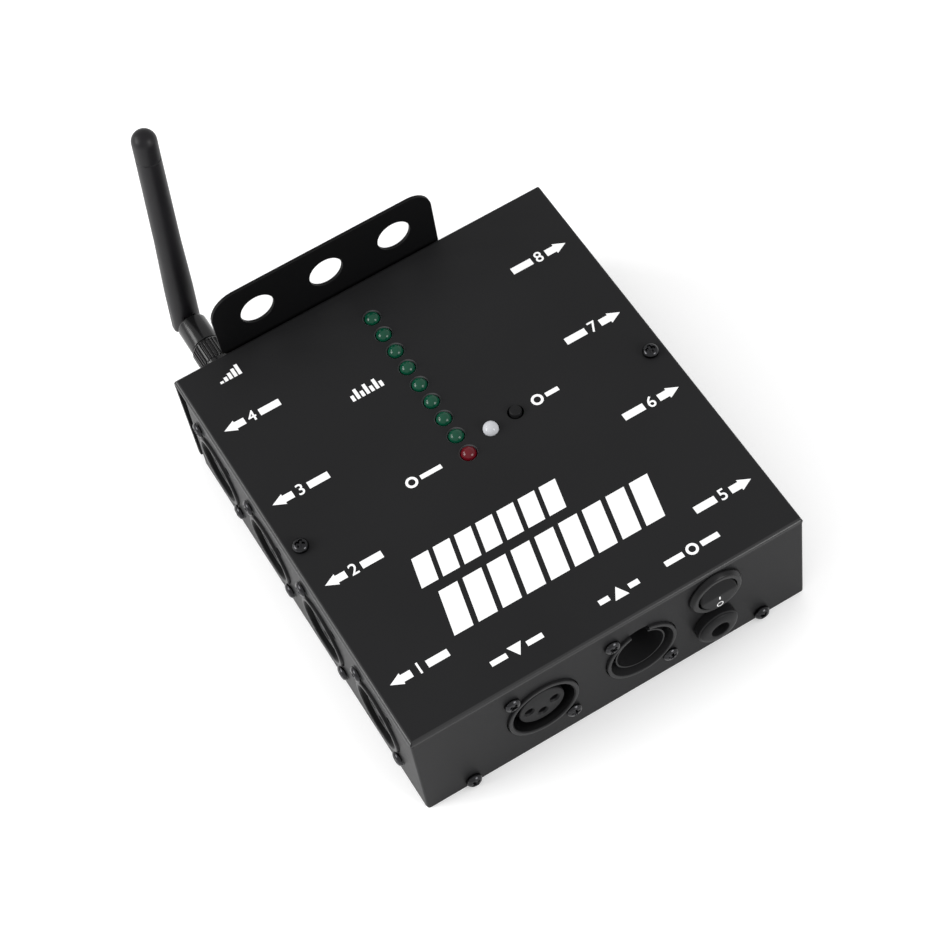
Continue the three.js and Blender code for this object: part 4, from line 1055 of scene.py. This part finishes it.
class SPLITTER_OT_sockets(bpy.types.Operator):
    """Make the nine female sockets and the male one, with their screws."""

    bl_idname = "splitter.sockets"
    bl_label = "Round sockets"

    def execute(self, context):
        sockets = context.scene.splitter_sockets
        fittings = context.scene.splitter_fittings
        frames = socket_frames()
        for name in FEMALE_SOCKETS:
            self.female(sockets, name, frames[name])
            self.screws(sockets, fittings, name, frames[name])
        self.male(sockets, frames["in"])
        self.screws(sockets, fittings, "in", frames["in"])
        return {"FINISHED"}

    def female(self, sockets, name, matrix):
        inside = [(sockets.bore, sockets.proud - sockets.taper)]
        dress(f"{name}_ring", [turned(socket_shell(sockets, inside), RING_STEPS, ring=True)],
              matrix, "socket_zinc", "case", [f"{name}_shell"])
        self.lining(sockets, name, matrix)
        self.plate(sockets, name, matrix)
        self.insert(sockets, name, matrix)

    def lining(self, sockets, name, matrix):
        """A thin sleeve in a dark copy of the moulding, painted shade in the bore, that follows
        the rim's slope and the bore.
        """
        thin, lip, lift = 0.22 * MM, 0.35 * MM, 0.1 * MM
        slope, start = sockets.proud - sockets.taper, sockets.proud - lip
        mouth = sockets.rim + (sockets.bore - sockets.rim) * lip / sockets.taper
        floor = lift - sockets.floor
        section = np.array([
            (sockets.bore + FIT, floor), (sockets.bore - thin, floor),
            (sockets.bore - thin, slope), (mouth - thin, start), (mouth + FIT, start),
            (sockets.bore + FIT, slope)])
        dress(f"{name}_lining", [turned(section, RING_STEPS, ring=True)], matrix,
              "dark_lining", "case")

    def plate(self, sockets, name, matrix):
        """The flange behind the wall, as an outline with a round hole."""
        x, y = sockets.flange_width / 2, sockets.flange_height / 2
        outline = rectangle(-x, x, -y, y, sockets.flange_corner)
        hole = circle(0, 0, sockets.body + FIT, SOCKET_STEPS)
        levels = (WALL_BACK - sockets.flange, WALL_BACK)
        parts = [panel(outline, [hole], z) for z in levels]
        parts += [raised(loop, levels) for loop in (outline, hole)]
        dress(f"{name}_flange", parts, matrix, "socket_zinc", "case")

    def insert(self, sockets, name, matrix):
        """The insulator: a turned body whose face carries three chamfered holes."""
        back, face = -sockets.floor, -sockets.sink
        fit = sockets.bore - FIT
        section = rounded(
            [(0, -sockets.reach), (fit, -sockets.reach), (fit, back), (sockets.nose, back),
             (sockets.nose, face), (0, face)],
            [0, 0, 0, 0, sockets.nose_edge, 0],
        )
        piece = dress(f"{name}_insulator", [turned(section, INSERT_STEPS)], matrix,
                      "black_moulding", "case", [f"{name}_insert"])
        mouth, past = sockets.contact + sockets.flare, face + OVERRUN
        hole = [(0, -sockets.contact_depth), (sockets.contact, -sockets.contact_depth),
                (sockets.contact, face - sockets.flare), (mouth, face), (mouth, past),
                (0, past)]
        for x, y in contact_places(sockets):
            carve(piece, [turned(hole, SMALL_STEPS)], matrix @ moved((x, y, 0)))

    def male(self, sockets, matrix):
        """Ring with a sleeve and a latch notch, insulator and three pins.

        The notch is cut from inside the sleeve to past the ring's edge.
        """
        sleeve_cut, soft = 1.2 * MM, 0.5 * MM
        groove = -sockets.sink - sockets.groove
        fit = sockets.bore - FIT
        floor = -sockets.floor + GAP
        inside = [(sockets.bore + sockets.edge, groove), (sockets.sleeve, groove),
                  (sockets.sleeve, -sockets.sink), (sockets.cup, -sockets.sink),
                  (sockets.cup, floor), (sockets.bore, floor)]
        shell = dress("in_ring", [turned(socket_shell(sockets, inside), RING_STEPS, ring=True)],
                      matrix, "socket_zinc", "case", ["in_shell"])
        half = sockets.latch_width / 2
        outline = rectangle(-half, half, sockets.nose - sleeve_cut, sockets.ring + OVERRUN)
        notch = prism(outline, -sockets.latch_depth, sockets.proud + OVERRUN)
        carve(shell, notch, matrix)
        self.plate(sockets, "in", matrix)
        # the insulator's lighter finish is painted light at the floor of the deep cup
        section = [(0, -sockets.reach), (fit, -sockets.reach), (fit, -sockets.floor),
                   (0, -sockets.floor)]
        dress("in_insulator", [turned(section, INSERT_STEPS)], matrix, "cup_moulding", "case",
              ["in_insert"])
        tip = sockets.pin_length - sockets.floor
        root = -sockets.floor - OVERRUN
        pin = rounded([(0, root), (sockets.pin, root), (sockets.pin, tip), (0, tip)],
                      [0, 0, soft, 0])
        pins = [(placed(points, moved((x, y, 0))), faces)
                for x, y in contact_places(sockets)
                for points, faces in [turned(pin, SMALL_STEPS)]]
        # the pins take the screws' dark plating, darker than real contacts, as painted shade deep
        # in the cup
        dress("in_pins", pins, matrix, "dark_zinc", "case")

    def screws(self, sockets, fittings, name, matrix):
        """The two fixing screws, at opposite corners of the flange."""
        for number, side in enumerate((-1, 1), 1):
            place = moved((side * sockets.screw_x, -side * sockets.screw_z, 0))
            turn = turned_about("Z", screw_turn(f"{name}{number}"))
            dress(f"{name}_screw_{number}", pan_head(fittings, GAP, fittings.low_head),
                  matrix @ place @ turn, "dark_zinc", "case")


def contact_places(sockets):
    return [(-sockets.spread, sockets.rise), (sockets.spread, sockets.rise),
            (0, -sockets.drop)]


# Switch and power inlet

class SPLITTER_OT_switch(bpy.types.Operator):
    """Make the round rocker switch, its rocker and the two marks on it."""

    bl_idname = "splitter.switch"
    bl_label = "Rocker switch"

    def execute(self, context):
        fittings = context.scene.splitter_fittings
        x, _, z = centre_of("switch_housing")
        matrix = front_frame(x, z)
        skirt, soft = 0.8 * MM, 0.3 * MM
        section = rounded(
            [(0, BODY_BACK), (fittings.switch_body, BODY_BACK), (fittings.switch_body, GAP),
             (fittings.bezel_foot, GAP), (fittings.bezel_foot, skirt),
             (fittings.bezel, fittings.bezel_height),
             (fittings.switch_bore, fittings.bezel_height),
             (fittings.switch_bore, -fittings.switch_depth), (0, -fittings.switch_depth)],
            [0, 0, 0, 0, soft, fittings.bezel_edge, soft, 0, 0],
        )
        dress("switch_bezel", [turned(section, RING_STEPS)], matrix, "gloss_moulding", "case",
              ["switch_housing"])
        tilted = (matrix @ moved((0, 0, fittings.pivot))
                  @ turned_about("X", -fittings.rocker_tilt))
        dress("switch_rocker", self.paddle(fittings), tilted, "black_moulding", "rocker",
              ["rocker"])
        self.marks(fittings, tilted)
        return {"FINISHED"}

    def top_height(self, fittings, y):
        """Height of the rocker's face over its pivot: middle high, ends low.

        It falls by dip x sqrt((y / r)^2 + a small number that rounds the ridge).
        """
        radius, ridge = fittings.switch_bore - fittings.rocker_gap, 0.004
        share = np.sqrt((y / radius) ** 2 + ridge)
        return fittings.rocker_edge - fittings.pivot - fittings.rocker_dip * share

    def paddle(self, fittings):
        """Rings of a disc whose edge rounds over and drops to a drum.

        x = r cos t, and y is limited to what both ends of the swing leave free.
        """
        radius = fittings.switch_bore - fittings.rocker_gap
        turn = np.linspace(0, 2 * np.pi, RING_STEPS, endpoint=False)[:, None]
        rest, band = 0.9, 0.1       # flat part of the face and its rounded edge
        share = np.concatenate([np.linspace(0, rest, 10), 1 - band * np.cos(
            np.linspace(0, np.pi / 2, 6))[1:]])[None, :]
        tilt = fittings.rocker_tilt
        rise = fittings.rocker_edge - fittings.pivot - fittings.rocker_dip

        def rim(height):
            """Sideways reach at a height so that both ends of the swing clear."""
            room = (radius * np.sqrt(np.maximum(1 - np.cos(turn) ** 2, 0))
                    - abs(height) * math.sin(tilt) * np.abs(np.sin(turn))) / math.cos(tilt)
            return np.minimum(np.abs(room), radius)
        x = radius * np.cos(turn) * share
        y = rim(rise) * np.sign(np.sin(turn)) * share
        edge = np.sqrt(np.clip(1 - ((share - rest) / band).clip(0) ** 2, 0, 1))
        z = self.top_height(fittings, y) - fittings.rocker_round * (1 - edge)
        top = np.stack([x + 0 * y, y, z], axis=2)
        foot = np.full(len(turn), -fittings.rocker_drum)
        low = np.stack([x[:, -1], y[:, -1], foot], axis=1)
        base = np.stack([0 * foot, 0 * foot, foot], axis=1)
        walls = np.stack([top[:, -1], low, base], axis=1)
        return [surface(top, wrap_rows=True), surface(walls, wrap_rows=True)]

    def marks(self, fittings, tilted):
        """A short bar over a thin ring on the raised half, as thin ink."""
        ring_y, bar_y, ink = -4.9 * MM, -1.5 * MM, 0.04 * MM
        outer, inner, half_wide, half_high = 1.15 * MM, 0.88 * MM, 0.22 * MM, 0.7 * MM
        turn = np.linspace(0, 2 * np.pi, 40, endpoint=False)[:, None]
        radius = np.array([[inner, outer, outer, inner]])
        x = radius * np.cos(turn)
        y = ring_y + radius * np.sin(turn)
        lift = np.array([[ink, ink, -ink, -ink]])
        z = self.top_height(fittings, y) + lift
        ring = surface(np.stack([x, y, z], axis=2), wrap_rows=True, wrap_columns=True)
        dress("off_mark", [ring], tilted, "ink", "rocker")
        outline = rectangle(-half_wide, half_wide, bar_y - half_high, bar_y + half_high)
        bar = prism(outline, -ink, ink)
        for points, _ in bar:
            points[:, 2] += self.top_height(fittings, points[:, 1])
        dress("on_mark", bar, tilted, "ink", "rocker")


class SPLITTER_OT_inlet(bpy.types.Operator):
    """Make the round power inlet and its centre pin."""

    bl_idname = "splitter.inlet"
    bl_label = "Power inlet"

    def execute(self, context):
        fittings = context.scene.splitter_fittings
        x, _, z = centre_of("power_inlet")
        matrix = front_frame(x - fittings.inlet_shift, z - fittings.inlet_drop)
        floor = fittings.inlet_height - fittings.inlet_depth
        dress("inlet_body", [turned(self.section(fittings, floor), RING_STEPS)], matrix,
              "black_moulding", "case", ["power_inlet"])
        tip, soft = fittings.inlet_height - fittings.inlet_pin_sink, 0.4 * MM
        pin = rounded([(0, floor - GAP), (fittings.inlet_pin, floor - GAP),
                       (fittings.inlet_pin, tip), (0, tip)], [0, 0, soft, 0])
        dress("inlet_pin", [turned(pin, SMALL_STEPS)], matrix, "bright_zinc", "case")
        finish_node("inlet_nut", "bright_zinc")
        return {"FINISHED"}

    def section(self, fittings, floor):
        """Barrel, flange and domed face.

        The face is a quarter ellipse from the flange's shoulder to the crown:
        radius = crown + width cos t, height = shoulder + rise sin t.
        """
        edge, soft = 0.5 * MM, 0.3 * MM
        high = fittings.inlet_height
        crown = fittings.inlet_bore + fittings.inlet_crown
        turn = np.linspace(0, np.pi / 2, 14)
        width = fittings.inlet - edge - crown
        rise = high - fittings.inlet_shoulder
        dome = np.column_stack([crown + width * np.cos(turn),
                                fittings.inlet_shoulder + rise * np.sin(turn)])
        back = rounded(
            [(0, BODY_BACK), (fittings.inlet_barrel, BODY_BACK), (fittings.inlet_barrel, GAP),
             (fittings.inlet, GAP), (fittings.inlet, fittings.inlet_shoulder - edge / 2),
             tuple(dome[0])],
            [0, 0, 0, 0, soft, 0],
        )
        lip = rounded([tuple(dome[-1]), (fittings.inlet_bore, high),
                       (fittings.inlet_bore, floor), (0, floor)], [0, soft, 0, 0])
        return np.concatenate([back[:-1], dome, lip[1:]])


# Lamps and button

class SPLITTER_OT_lamps(bpy.types.Operator):
    """Make the domed lamps on the lid."""

    bl_idname = "splitter.lamps"
    bl_label = "Lamps"

    def execute(self, context):
        fittings = context.scene.splitter_fittings
        for node in SIGNAL_LAMPS:
            self.add(fittings, node, "green_resin", "green_lens")
        self.add(fittings, "power_lamp", "red_resin", "red_lens")
        self.add(fittings, "pairing_lamp", "clear_resin", "clear_lens")
        for node in [*SIGNAL_LAMPS, "power_lamp"]:
            self.rim(context.scene.splitter_case, node)
        return {"FINISHED"}

    def rim(self, case, node):
        """The hole's edge: a thin ring whose top slopes down to its inside, in the paint made
        lighter as a painted highlight.
        """
        x, y, _ = centre_of(node)
        wide, narrow = case.lamp_hole, case.lamp_hole - RIM_WIDTH
        depth, fall = -1.2 * MM, -0.35 * MM
        section = [(narrow, depth), (wide, depth), (wide, 0), (narrow, fall)]
        dress(node + "_rim", [turned(section, LENS_STEPS, ring=True)], lid_frame(x, y),
              "hole_edge", "case")

    def add(self, fittings, node, finish, slot):
        """A cylinder closed by a half sphere: r cos t, shoulder + r sin t."""
        (x0, y0, z0), (x1, y1, z1) = box_of(node)
        radius = fittings.lamp
        shoulder, collar = z1 - radius, z0 + LAMP_COLLAR
        turn = np.linspace(0, np.pi / 2, 14)
        dome = np.column_stack([radius * np.cos(turn), shoulder + radius * np.sin(turn)])
        flange = (x1 - x0) / 2
        foot = [(0, z0), (flange, z0), (flange, collar), (radius, collar)]
        section = np.concatenate([foot, dome])
        section[-1, 0] = 0
        matrix = moved(((x0 + x1) / 2, (y0 + y1) / 2, 0))
        dress(node + "_lens", [turned(section, LENS_STEPS)], matrix, finish, "case",
              [node])


class SPLITTER_OT_button(bpy.types.Operator):
    """Make the push button's rounded cap."""

    bl_idname = "splitter.button"
    bl_label = "Push button"

    def execute(self, context):
        (x0, y0, z0), (x1, y1, z1) = box_of("button_cap")
        radius = (x1 - x0) / 2
        fall, soft = 0.2 * MM, 0.6 * MM
        top = z1 + BUTTON_RISE
        section = rounded([(0, z0), (radius, z0), (radius, top - fall), (0, top)],
                          [0, 0, soft, 0])
        matrix = moved(((x0 + x1) / 2, (y0 + y1) / 2, 0))
        dress("button_top", [turned(section, LENS_STEPS)], matrix, "black_moulding", "button",
              ["button_cap"])
        finish_node("button_body", "black_moulding")
        return {"FINISHED"}


# Antenna

class SPLITTER_OT_antenna(bpy.types.Operator):
    """Make the knurled nut, the swivel and the tapering whip."""

    bl_idname = "splitter.antenna"
    bl_label = "Antenna"

    def execute(self, context):
        antenna = context.scene.splitter_antenna
        x, _, z = centre_of("coupling_nut")
        jack = rear_frame(x, z)
        self.nut(antenna, jack)
        swivel = jack @ turned_about("Z", antenna.lean)
        self.swivel(antenna, swivel)
        hinge = swivel @ moved((0, 0, antenna.hinge_reach))
        self.whip(antenna, hinge @ turned_about("X", -antenna.tilt))
        finish_node("antenna_jack", "gold_plate")
        finish_node("hinge_pin", "bright_zinc")
        return {"FINISHED"}

    def nut(self, antenna, matrix):
        """A turned section whose outer radius is cut by flutes.

        With wave = (1 - cos(flutes x angle)) / 2, the radius on the grip is
        r - depth x smooth step of the wave, and r on its two shoulders.
        """
        low, high = box_of("coupling_nut")
        wall = COVER_HIGH[1]
        foot, head = low[1] - wall, high[1] - wall - antenna.nut_cut
        radius = (high[0] - low[0]) / 2 * antenna.nut_gain
        bore = antenna.nut_bore
        collar = foot + antenna.nut_collar
        t, part = 0.1 * MM, 0.6     # a tenth of a millimetre; a flute's share at its ends
        # each ring: its height, its radius, and how much of the flutes' depth it takes
        heights, radii, grip = np.array([
            (foot, bore, 0), (foot, radius - 3 * t, 0), (collar - 3 * t, radius - 3 * t, 0),
            (collar, radius, part), (collar + 3 * t, radius, 1), (head - 9 * t, radius, 1),
            (head - 6 * t, radius, part), (head - 5 * t, radius - t, 0),
            (head - 2 * t, radius - 2 * t, 0), (head, radius - 6 * t, 0), (head, bore, 0),
            (foot, bore, 0)]).T
        points_per_flute, ridge, groove = 12, 0.35, 0.85
        turn = np.linspace(0, 2 * np.pi, antenna.flutes * points_per_flute,
                           endpoint=False)[:, None]
        wave = 0.5 - 0.5 * np.cos(antenna.flutes * turn)
        cut = antenna.knurl * smooth_step(ridge, groove, wave) * grip[None, :]
        r = radii[None, :] - cut
        grid = np.stack([r * np.cos(turn), r * np.sin(turn), heights[None, :] + 0 * turn], axis=2)
        dress("knurled_nut", [surface(grid, wrap_rows=True, wrap_columns=True)], matrix,
              "satin_moulding", "coupling_nut", ["coupling_nut"],
              math.radians(30))

    def swivel(self, antenna, matrix):
        """The turned body, and the round-ended tongue that goes into the whip's fork."""
        nut_head = box_of("coupling_nut")[1][1] - COVER_HIGH[1] - antenna.nut_cut
        foot = nut_head + GAP
        head = antenna.hinge_reach - antenna.foot - GAP
        radius = antenna.swivel
        neck, neck_foot = 2.3 * MM, foot - 4 * MM
        soft_foot, soft_head, chamfer = 0.5 * MM, 0.7 * MM, 0.2 * MM
        section = rounded(
            [(0, neck_foot), (neck, neck_foot), (neck, foot), (radius, foot),
             (radius, head), (0, head)],
            [0, 0, 0, soft_foot, soft_head, 0],
        )
        dress("swivel_body", [turned(section, SOCKET_STEPS)], matrix, "satin_moulding",
              "antenna_swivel", ["swivel_base"])
        reach = antenna.tongue_round
        turn = np.linspace(0, np.pi, 25)
        arc = np.column_stack([reach * np.cos(turn), antenna.hinge_reach + reach * np.sin(turn)])
        outline = np.concatenate([[(-reach, head - MM), (reach, head - MM)], arc])
        half = antenna.tongue / 2
        along = frame_at((0, 1, 0), (0, 0, 1), (1, 0, 0), (0, 0, 0))
        dress("swivel_tongue", prism(outline, -half, half, chamfer), matrix @ along,
              "antenna_skin", "antenna_swivel")

    def whip(self, antenna, matrix):
        """The whip's outside: a radius for each height, cut by flats and a round foot.

        The radius runs straight from knot to knot. Across the hinge it is held
        within the fork's width, and below it within sqrt(foot^2 - z^2).
        """
        length, foot = antenna.length, antenna.foot
        shoulder_at, middle_at, flats_end = 0.16 * length, 0.42 * length, 0.8
        cap_foot = length - antenna.cap
        turn = np.linspace(0, np.pi / 2, 12)
        dome = np.column_stack([antenna.tip * np.cos(turn),
                                length - antenna.tip + antenna.tip * np.sin(turn)])
        groove = antenna.groove
        knots = [(-foot, foot), (0, foot), (shoulder_at, antenna.shoulder),
                 (middle_at, antenna.middle), (cap_foot - 2 * groove, antenna.tip)]
        heights = np.concatenate([
            foot * np.sin(np.linspace(-np.pi / 2, 0, 12)),
            np.linspace(0, antenna.flat_height, 8)[1:],
            np.linspace(antenna.flat_height, cap_foot - 2 * groove, 24)[1:],
        ])
        radii = np.interp(heights, [h for h, _ in knots], [r for _, r in knots])
        heights = np.concatenate([heights, [cap_foot - groove, cap_foot - groove, cap_foot],
                                  dome[:, 1]])
        radii = np.concatenate([radii, [antenna.tip - groove, antenna.tip - groove,
                                        antenna.tip], dome[:, 0]])
        radii[-1] = 0
        around = np.linspace(0, 2 * np.pi, RING_STEPS, endpoint=False)[:, None]
        x = radii[None, :] * np.cos(around)
        y = radii[None, :] * np.sin(around)
        z = heights[None, :] + 0 * around
        flat = antenna.flat / 2 + foot * smooth_step(
            flats_end * antenna.flat_height, antenna.flat_height, z)
        x = np.clip(x, -flat, flat)
        room = np.sqrt(np.clip(foot ** 2 - np.minimum(z, 0) ** 2, 0, None))
        y = np.clip(y, -room, room)
        piece = dress("whip_skin", [surface(np.stack([x, y, z], axis=2), wrap_rows=True)],
                      matrix, "antenna_skin", "antenna_whip", ["whip"])
        half, wide = antenna.slot / 2, foot + OVERRUN
        carve(piece, prism(rectangle(-half, half, -wide, wide), -wide, antenna.slot_depth),
              matrix)


# Printed marks, all in millimetres on the lid

INK_FOOT, INK_TOP = -0.02, 0.03     # a mark's underside and face
RING_INNER, RING_OUTER = 1.15, 2.0
FONT_SHARE = 0.72                   # a digit's height as a share of its font size
PORT_HIGH = 4.1                     # height of a socket's number
PORTS = [                           # side, ends of the row, place of each row
    (-1, (-62.6, -42.9), [-57.8, -18.0, 15.7, 47.9]),
    (1, (42.6, 62.5), [-57.7, -17.8, 16.2, 49.0]),
]
STRIPS = [                          # name, left, right, foot, top, bars
    ("bars_upper", -38.9, 15.4, -33.0, -22.5, 7),
    ("bars_lower", -38.7, 39.6, -52.1, -36.6, 9),
]
WALL_ARROWS = [                     # name, left, right, middle, way
    ("thru", -34.6, -16.9, -66.2, -1),
    ("in", 2.2, 16.0, -66.5, 1),
]


def ink_plate(name, outline):
    """A thin plate of ink on the lid, from an outline in millimetres."""
    dress(name, prism(np.array(outline) * MM, INK_FOOT * MM, INK_TOP * MM), lid_frame(0, 0),
          "ink", "case")


def numeral(name, text, height, matrix):
    """A plain number from the built-in font, as a thin plate of ink."""
    curve = bpy.data.curves.new(name, "FONT")
    curve.body = text
    curve.size = height / FONT_SHARE
    curve.extrude = 0.025 * MM
    curve.offset = 0.05 * MM
    curve.align_x = "CENTER"
    curve.align_y = "CENTER"
    holder = bpy.data.objects.new(name, curve)
    bpy.context.scene.collection.objects.link(holder)
    graph = bpy.context.evaluated_depsgraph_get()
    mesh = bpy.data.meshes.new_from_object(holder.evaluated_get(graph))
    bpy.data.objects.remove(holder)
    mesh.transform(Matrix(matrix.tolist()))
    mesh.name = name
    add_piece(name, mesh, "ink", "case")


class SPLITTER_OT_marks(bpy.types.Operator):
    """Print plain numbers, arrows and bars on the lid."""

    bl_idname = "splitter.marks"
    bl_label = "Printed marks"

    def execute(self, context):
        number = 1
        for hand, (x0, x1), rows in PORTS:
            for y in rows:
                self.port(number, hand, x0, x1, y)
                number += 1
        for strip in STRIPS:
            self.strip(*strip)
        self.small_marks()
        return {"FINISHED"}

    def port(self, number, hand, x0, x1, y):
        """A number between a rule and an arrow that points at its socket."""
        tip, tail = (x0, x1) if hand < 0 else (x1, x0)
        middle, centre = (x0 + x1) / 2, y + PORT_HIGH / 2
        arrow_long, inset, clear = 4.0, 0.75, 2.6
        neck, room = tip - hand * arrow_long, hand * clear
        foot, head = y + inset, y + PORT_HIGH - inset
        arrow = [(tip, centre), (neck, y + PORT_HIGH), (neck, y)]
        ink_plate(f"port_arrow_{number}", arrow)
        for part, start, end in (("rule", neck, middle + room), ("tail", middle - room, tail)):
            ink_plate(f"port_{part}_{number}",
                      rectangle(min(start, end), max(start, end), foot, head))
        numeral(f"port_number_{number}", str(number), PORT_HIGH * MM,
                lid_frame(middle * MM, centre * MM))

    def strip(self, name, x0, x1, y0, y1, count):
        """Equal slanted bars that fill a box."""
        lean, filled = 0.22, 0.78
        slant = (y1 - y0) * lean
        pitch = (x1 - x0 - slant) / count
        for i in range(count):
            left = x0 + i * pitch
            right = left + pitch * filled
            ink_plate(f"{name}_{i + 1}", [(left, y0), (right, y0), (right + slant, y1),
                                          (left + slant, y1)])

    def small_marks(self):
        """Plain pictograms: rising bars, pulses, rings and arrows."""
        for i in range(5):
            self.bar("antenna_bar", i, -55.3 + 1.62 * i, 1.15, 66.2, 67.1 + 0.83 * i)
        for i in range(7):
            self.bar("signal_pulse", i, -23.7 + 1.68 * i, 1.1, 36.6, 40.7 if i % 2 else 38.9)
        self.ring("power_ring", -23.1, 0.8)
        self.bar("power_rule", 0, -20.0, 7.4, 0.0, 1.6)
        self.ring("button_ring", 24.1, 4.9)
        self.bar("button_rule", 0, 27.1, 4.6, 4.1, 5.7)
        half, tail, tip, clear, thick = 2.4, -2, 2.1, 3.4, 0.9
        for name, x0, x1, y, way in WALL_ARROWS:
            middle = (x0 + x1) / 2
            arrow = [(middle - half, y + way * tail), (middle + half, y + way * tail),
                     (middle, y + way * tip)]
            ink_plate(f"{name}_arrow", arrow[::way])
            self.bar(f"{name}_rule", 0, x0, middle - clear - x0, y - thick, y + thick)
            self.bar(f"{name}_rule", 1, middle + clear, x1 - middle - clear, y - thick,
                     y + thick)
        self.ring("inlet_ring", 34.8, -66.2)
        self.bar("inlet_rule", 0, 25.3, 6.4, -67.2, -65.3)
        self.bar("inlet_rule", 1, 37.9, 6.2, -67.2, -65.3)

    def bar(self, name, number, x, width, y0, y1):
        ink_plate(f"{name}_{number + 1}", rectangle(x, x + width, y0, y1))

    def ring(self, name, x, y):
        """A flat ring of ink: a low rectangle turned round its centre."""
        section = rectangle(RING_INNER, RING_OUTER, INK_FOOT, INK_TOP) * MM
        dress(name, [turned(section, LENS_STEPS, ring=True)], lid_frame(x * MM, y * MM),
              "ink", "case")


# What stays as solids

class SPLITTER_OT_inside(bpy.types.Operator):
    """Give the base plate, pillars and boards their finishes."""

    bl_idname = "splitter.inside"
    bl_label = "Inside"

    def execute(self, context):
        finish_node("base_plate", "powder_coat")
        for node in ("left_pillar", "right_pillar"):
            finish_node(node, "bright_zinc")
        for node in ("main_board", "left_board", "right_board", "radio_module"):
            finish_node(node, "board")
        return {"FINISHED"}


# Studio

WORLD_STRENGTH = 0.85
FLOOR_HALF = 3.0
SENSOR_WIDTH = 36

# Name, place and side in metres, power in watts
SOFTBOXES = [
    ("left_softbox", (-0.94, 0.23, 0.53), 0.5, 6.8),
    ("rear_softbox", (-0.70, 0.62, 0.56), 0.3, 2.0),
    ("right_softbox", (0.50, -0.86, 0.47), 0.46, 5.0),
]


class SPLITTER_OT_studio(bpy.types.Operator):
    """Lay the pale floor and set the camera and soft lights."""

    bl_idname = "splitter.studio"
    bl_label = "Studio"

    def execute(self, context):
        studio = context.scene.splitter_studio
        self.camera(context, studio)
        self.floor(context)
        self.world(context)
        context.scene.view_settings.view_transform = "Standard"
        for name, place, side, watts in SOFTBOXES:
            self.light(context, name, place, side, watts)
        return {"FINISHED"}

    def camera(self, context, studio):
        """Axes from azimuth, elevation and roll; place as measured."""
        a, e, r = studio.azimuth, studio.elevation, studio.roll
        back = np.array((math.sin(a) * math.cos(e), -math.cos(a) * math.cos(e), math.sin(e)))
        right = np.array((math.cos(a), math.sin(a), 0.0))
        up = np.cross(back, right)
        turned_right = math.cos(r) * right + math.sin(r) * up
        turned_up = -math.sin(r) * right + math.cos(r) * up
        eye = (studio.eye_x, studio.eye_y, studio.eye_z)
        data = bpy.data.cameras.new("camera")
        data.lens = studio.lens
        data.sensor_width = SENSOR_WIDTH
        data.clip_start, data.clip_end = 0.01, 50
        camera = bpy.data.objects.new("camera", data)
        camera.matrix_world = Matrix(frame_at(turned_right, turned_up, back, eye).tolist())
        context.scene.collection.objects.link(camera)
        context.scene.camera = camera

    def floor(self, context):
        points, faces = panel(rectangle(-FLOOR_HALF, FLOOR_HALF, -FLOOR_HALF, FLOOR_HALF))
        mesh = bpy.data.meshes.new("floor")
        mesh.from_pydata(points.tolist(), [], faces.tolist())
        floor = bpy.data.objects.new("floor", mesh)
        context.scene.collection.objects.link(floor)
        mesh.materials.append(material("floor"))

    def world(self, context):
        world = bpy.data.worlds.new("studio")
        context.scene.world = world
        world.use_nodes = True
        background = world.node_tree.nodes["Background"]
        background.inputs["Color"].default_value = (1, 1, 1, 1)
        background.inputs["Strength"].default_value = WORLD_STRENGTH

    def light(self, context, name, place, side, watts):
        """A square light that faces the object."""
        data = bpy.data.lights.new(name, "AREA")
        data.shape = "SQUARE"
        data.size = side
        data.energy = watts
        lamp = bpy.data.objects.new(name, data)
        lamp.location = place
        lamp.rotation_euler = (-Vector(place)).to_track_quat("-Z", "Y").to_euler()
        context.scene.collection.objects.link(lamp)


OPERATORS = [
    SPLITTER_OT_studio, SPLITTER_OT_cover, SPLITTER_OT_bracket, SPLITTER_OT_screws,
    SPLITTER_OT_sockets, SPLITTER_OT_switch, SPLITTER_OT_inlet, SPLITTER_OT_lamps,
    SPLITTER_OT_button, SPLITTER_OT_antenna, SPLITTER_OT_marks, SPLITTER_OT_inside,
]
GROUPS = {
    "splitter_case": CaseSizes,
    "splitter_sockets": SocketSizes,
    "splitter_fittings": FittingSizes,
    "splitter_antenna": AntennaSizes,
    "splitter_finishes": Finishes,
    "splitter_studio": StudioSizes,
}


class SPLITTER_PT_panel(bpy.types.Panel):
    """Lists the operators that build the splitter."""

    bl_label = "Data splitter"
    bl_idname = "SPLITTER_PT_panel"
    bl_space_type = "VIEW_3D"
    bl_region_type = "UI"
    bl_category = "Splitter"

    def draw(self, context):
        for operator in OPERATORS:
            self.layout.operator(operator.bl_idname)


def register():
    for kind in (*GROUPS.values(), *OPERATORS, SPLITTER_PT_panel):
        bpy.utils.register_class(kind)
    for name, kind in GROUPS.items():
        setattr(bpy.types.Scene, name, PointerProperty(type=kind))


def unregister():
    for name in GROUPS:
        delattr(bpy.types.Scene, name)
    for kind in (SPLITTER_PT_panel, *reversed(OPERATORS), *reversed(list(GROUPS.values()))):
        bpy.utils.unregister_class(kind)


def main():
    register()
    for operator in OPERATORS:
        group, name = operator.bl_idname.split(".")
        getattr(getattr(bpy.ops, group), name)()


if __name__ == "__main__":
    main()
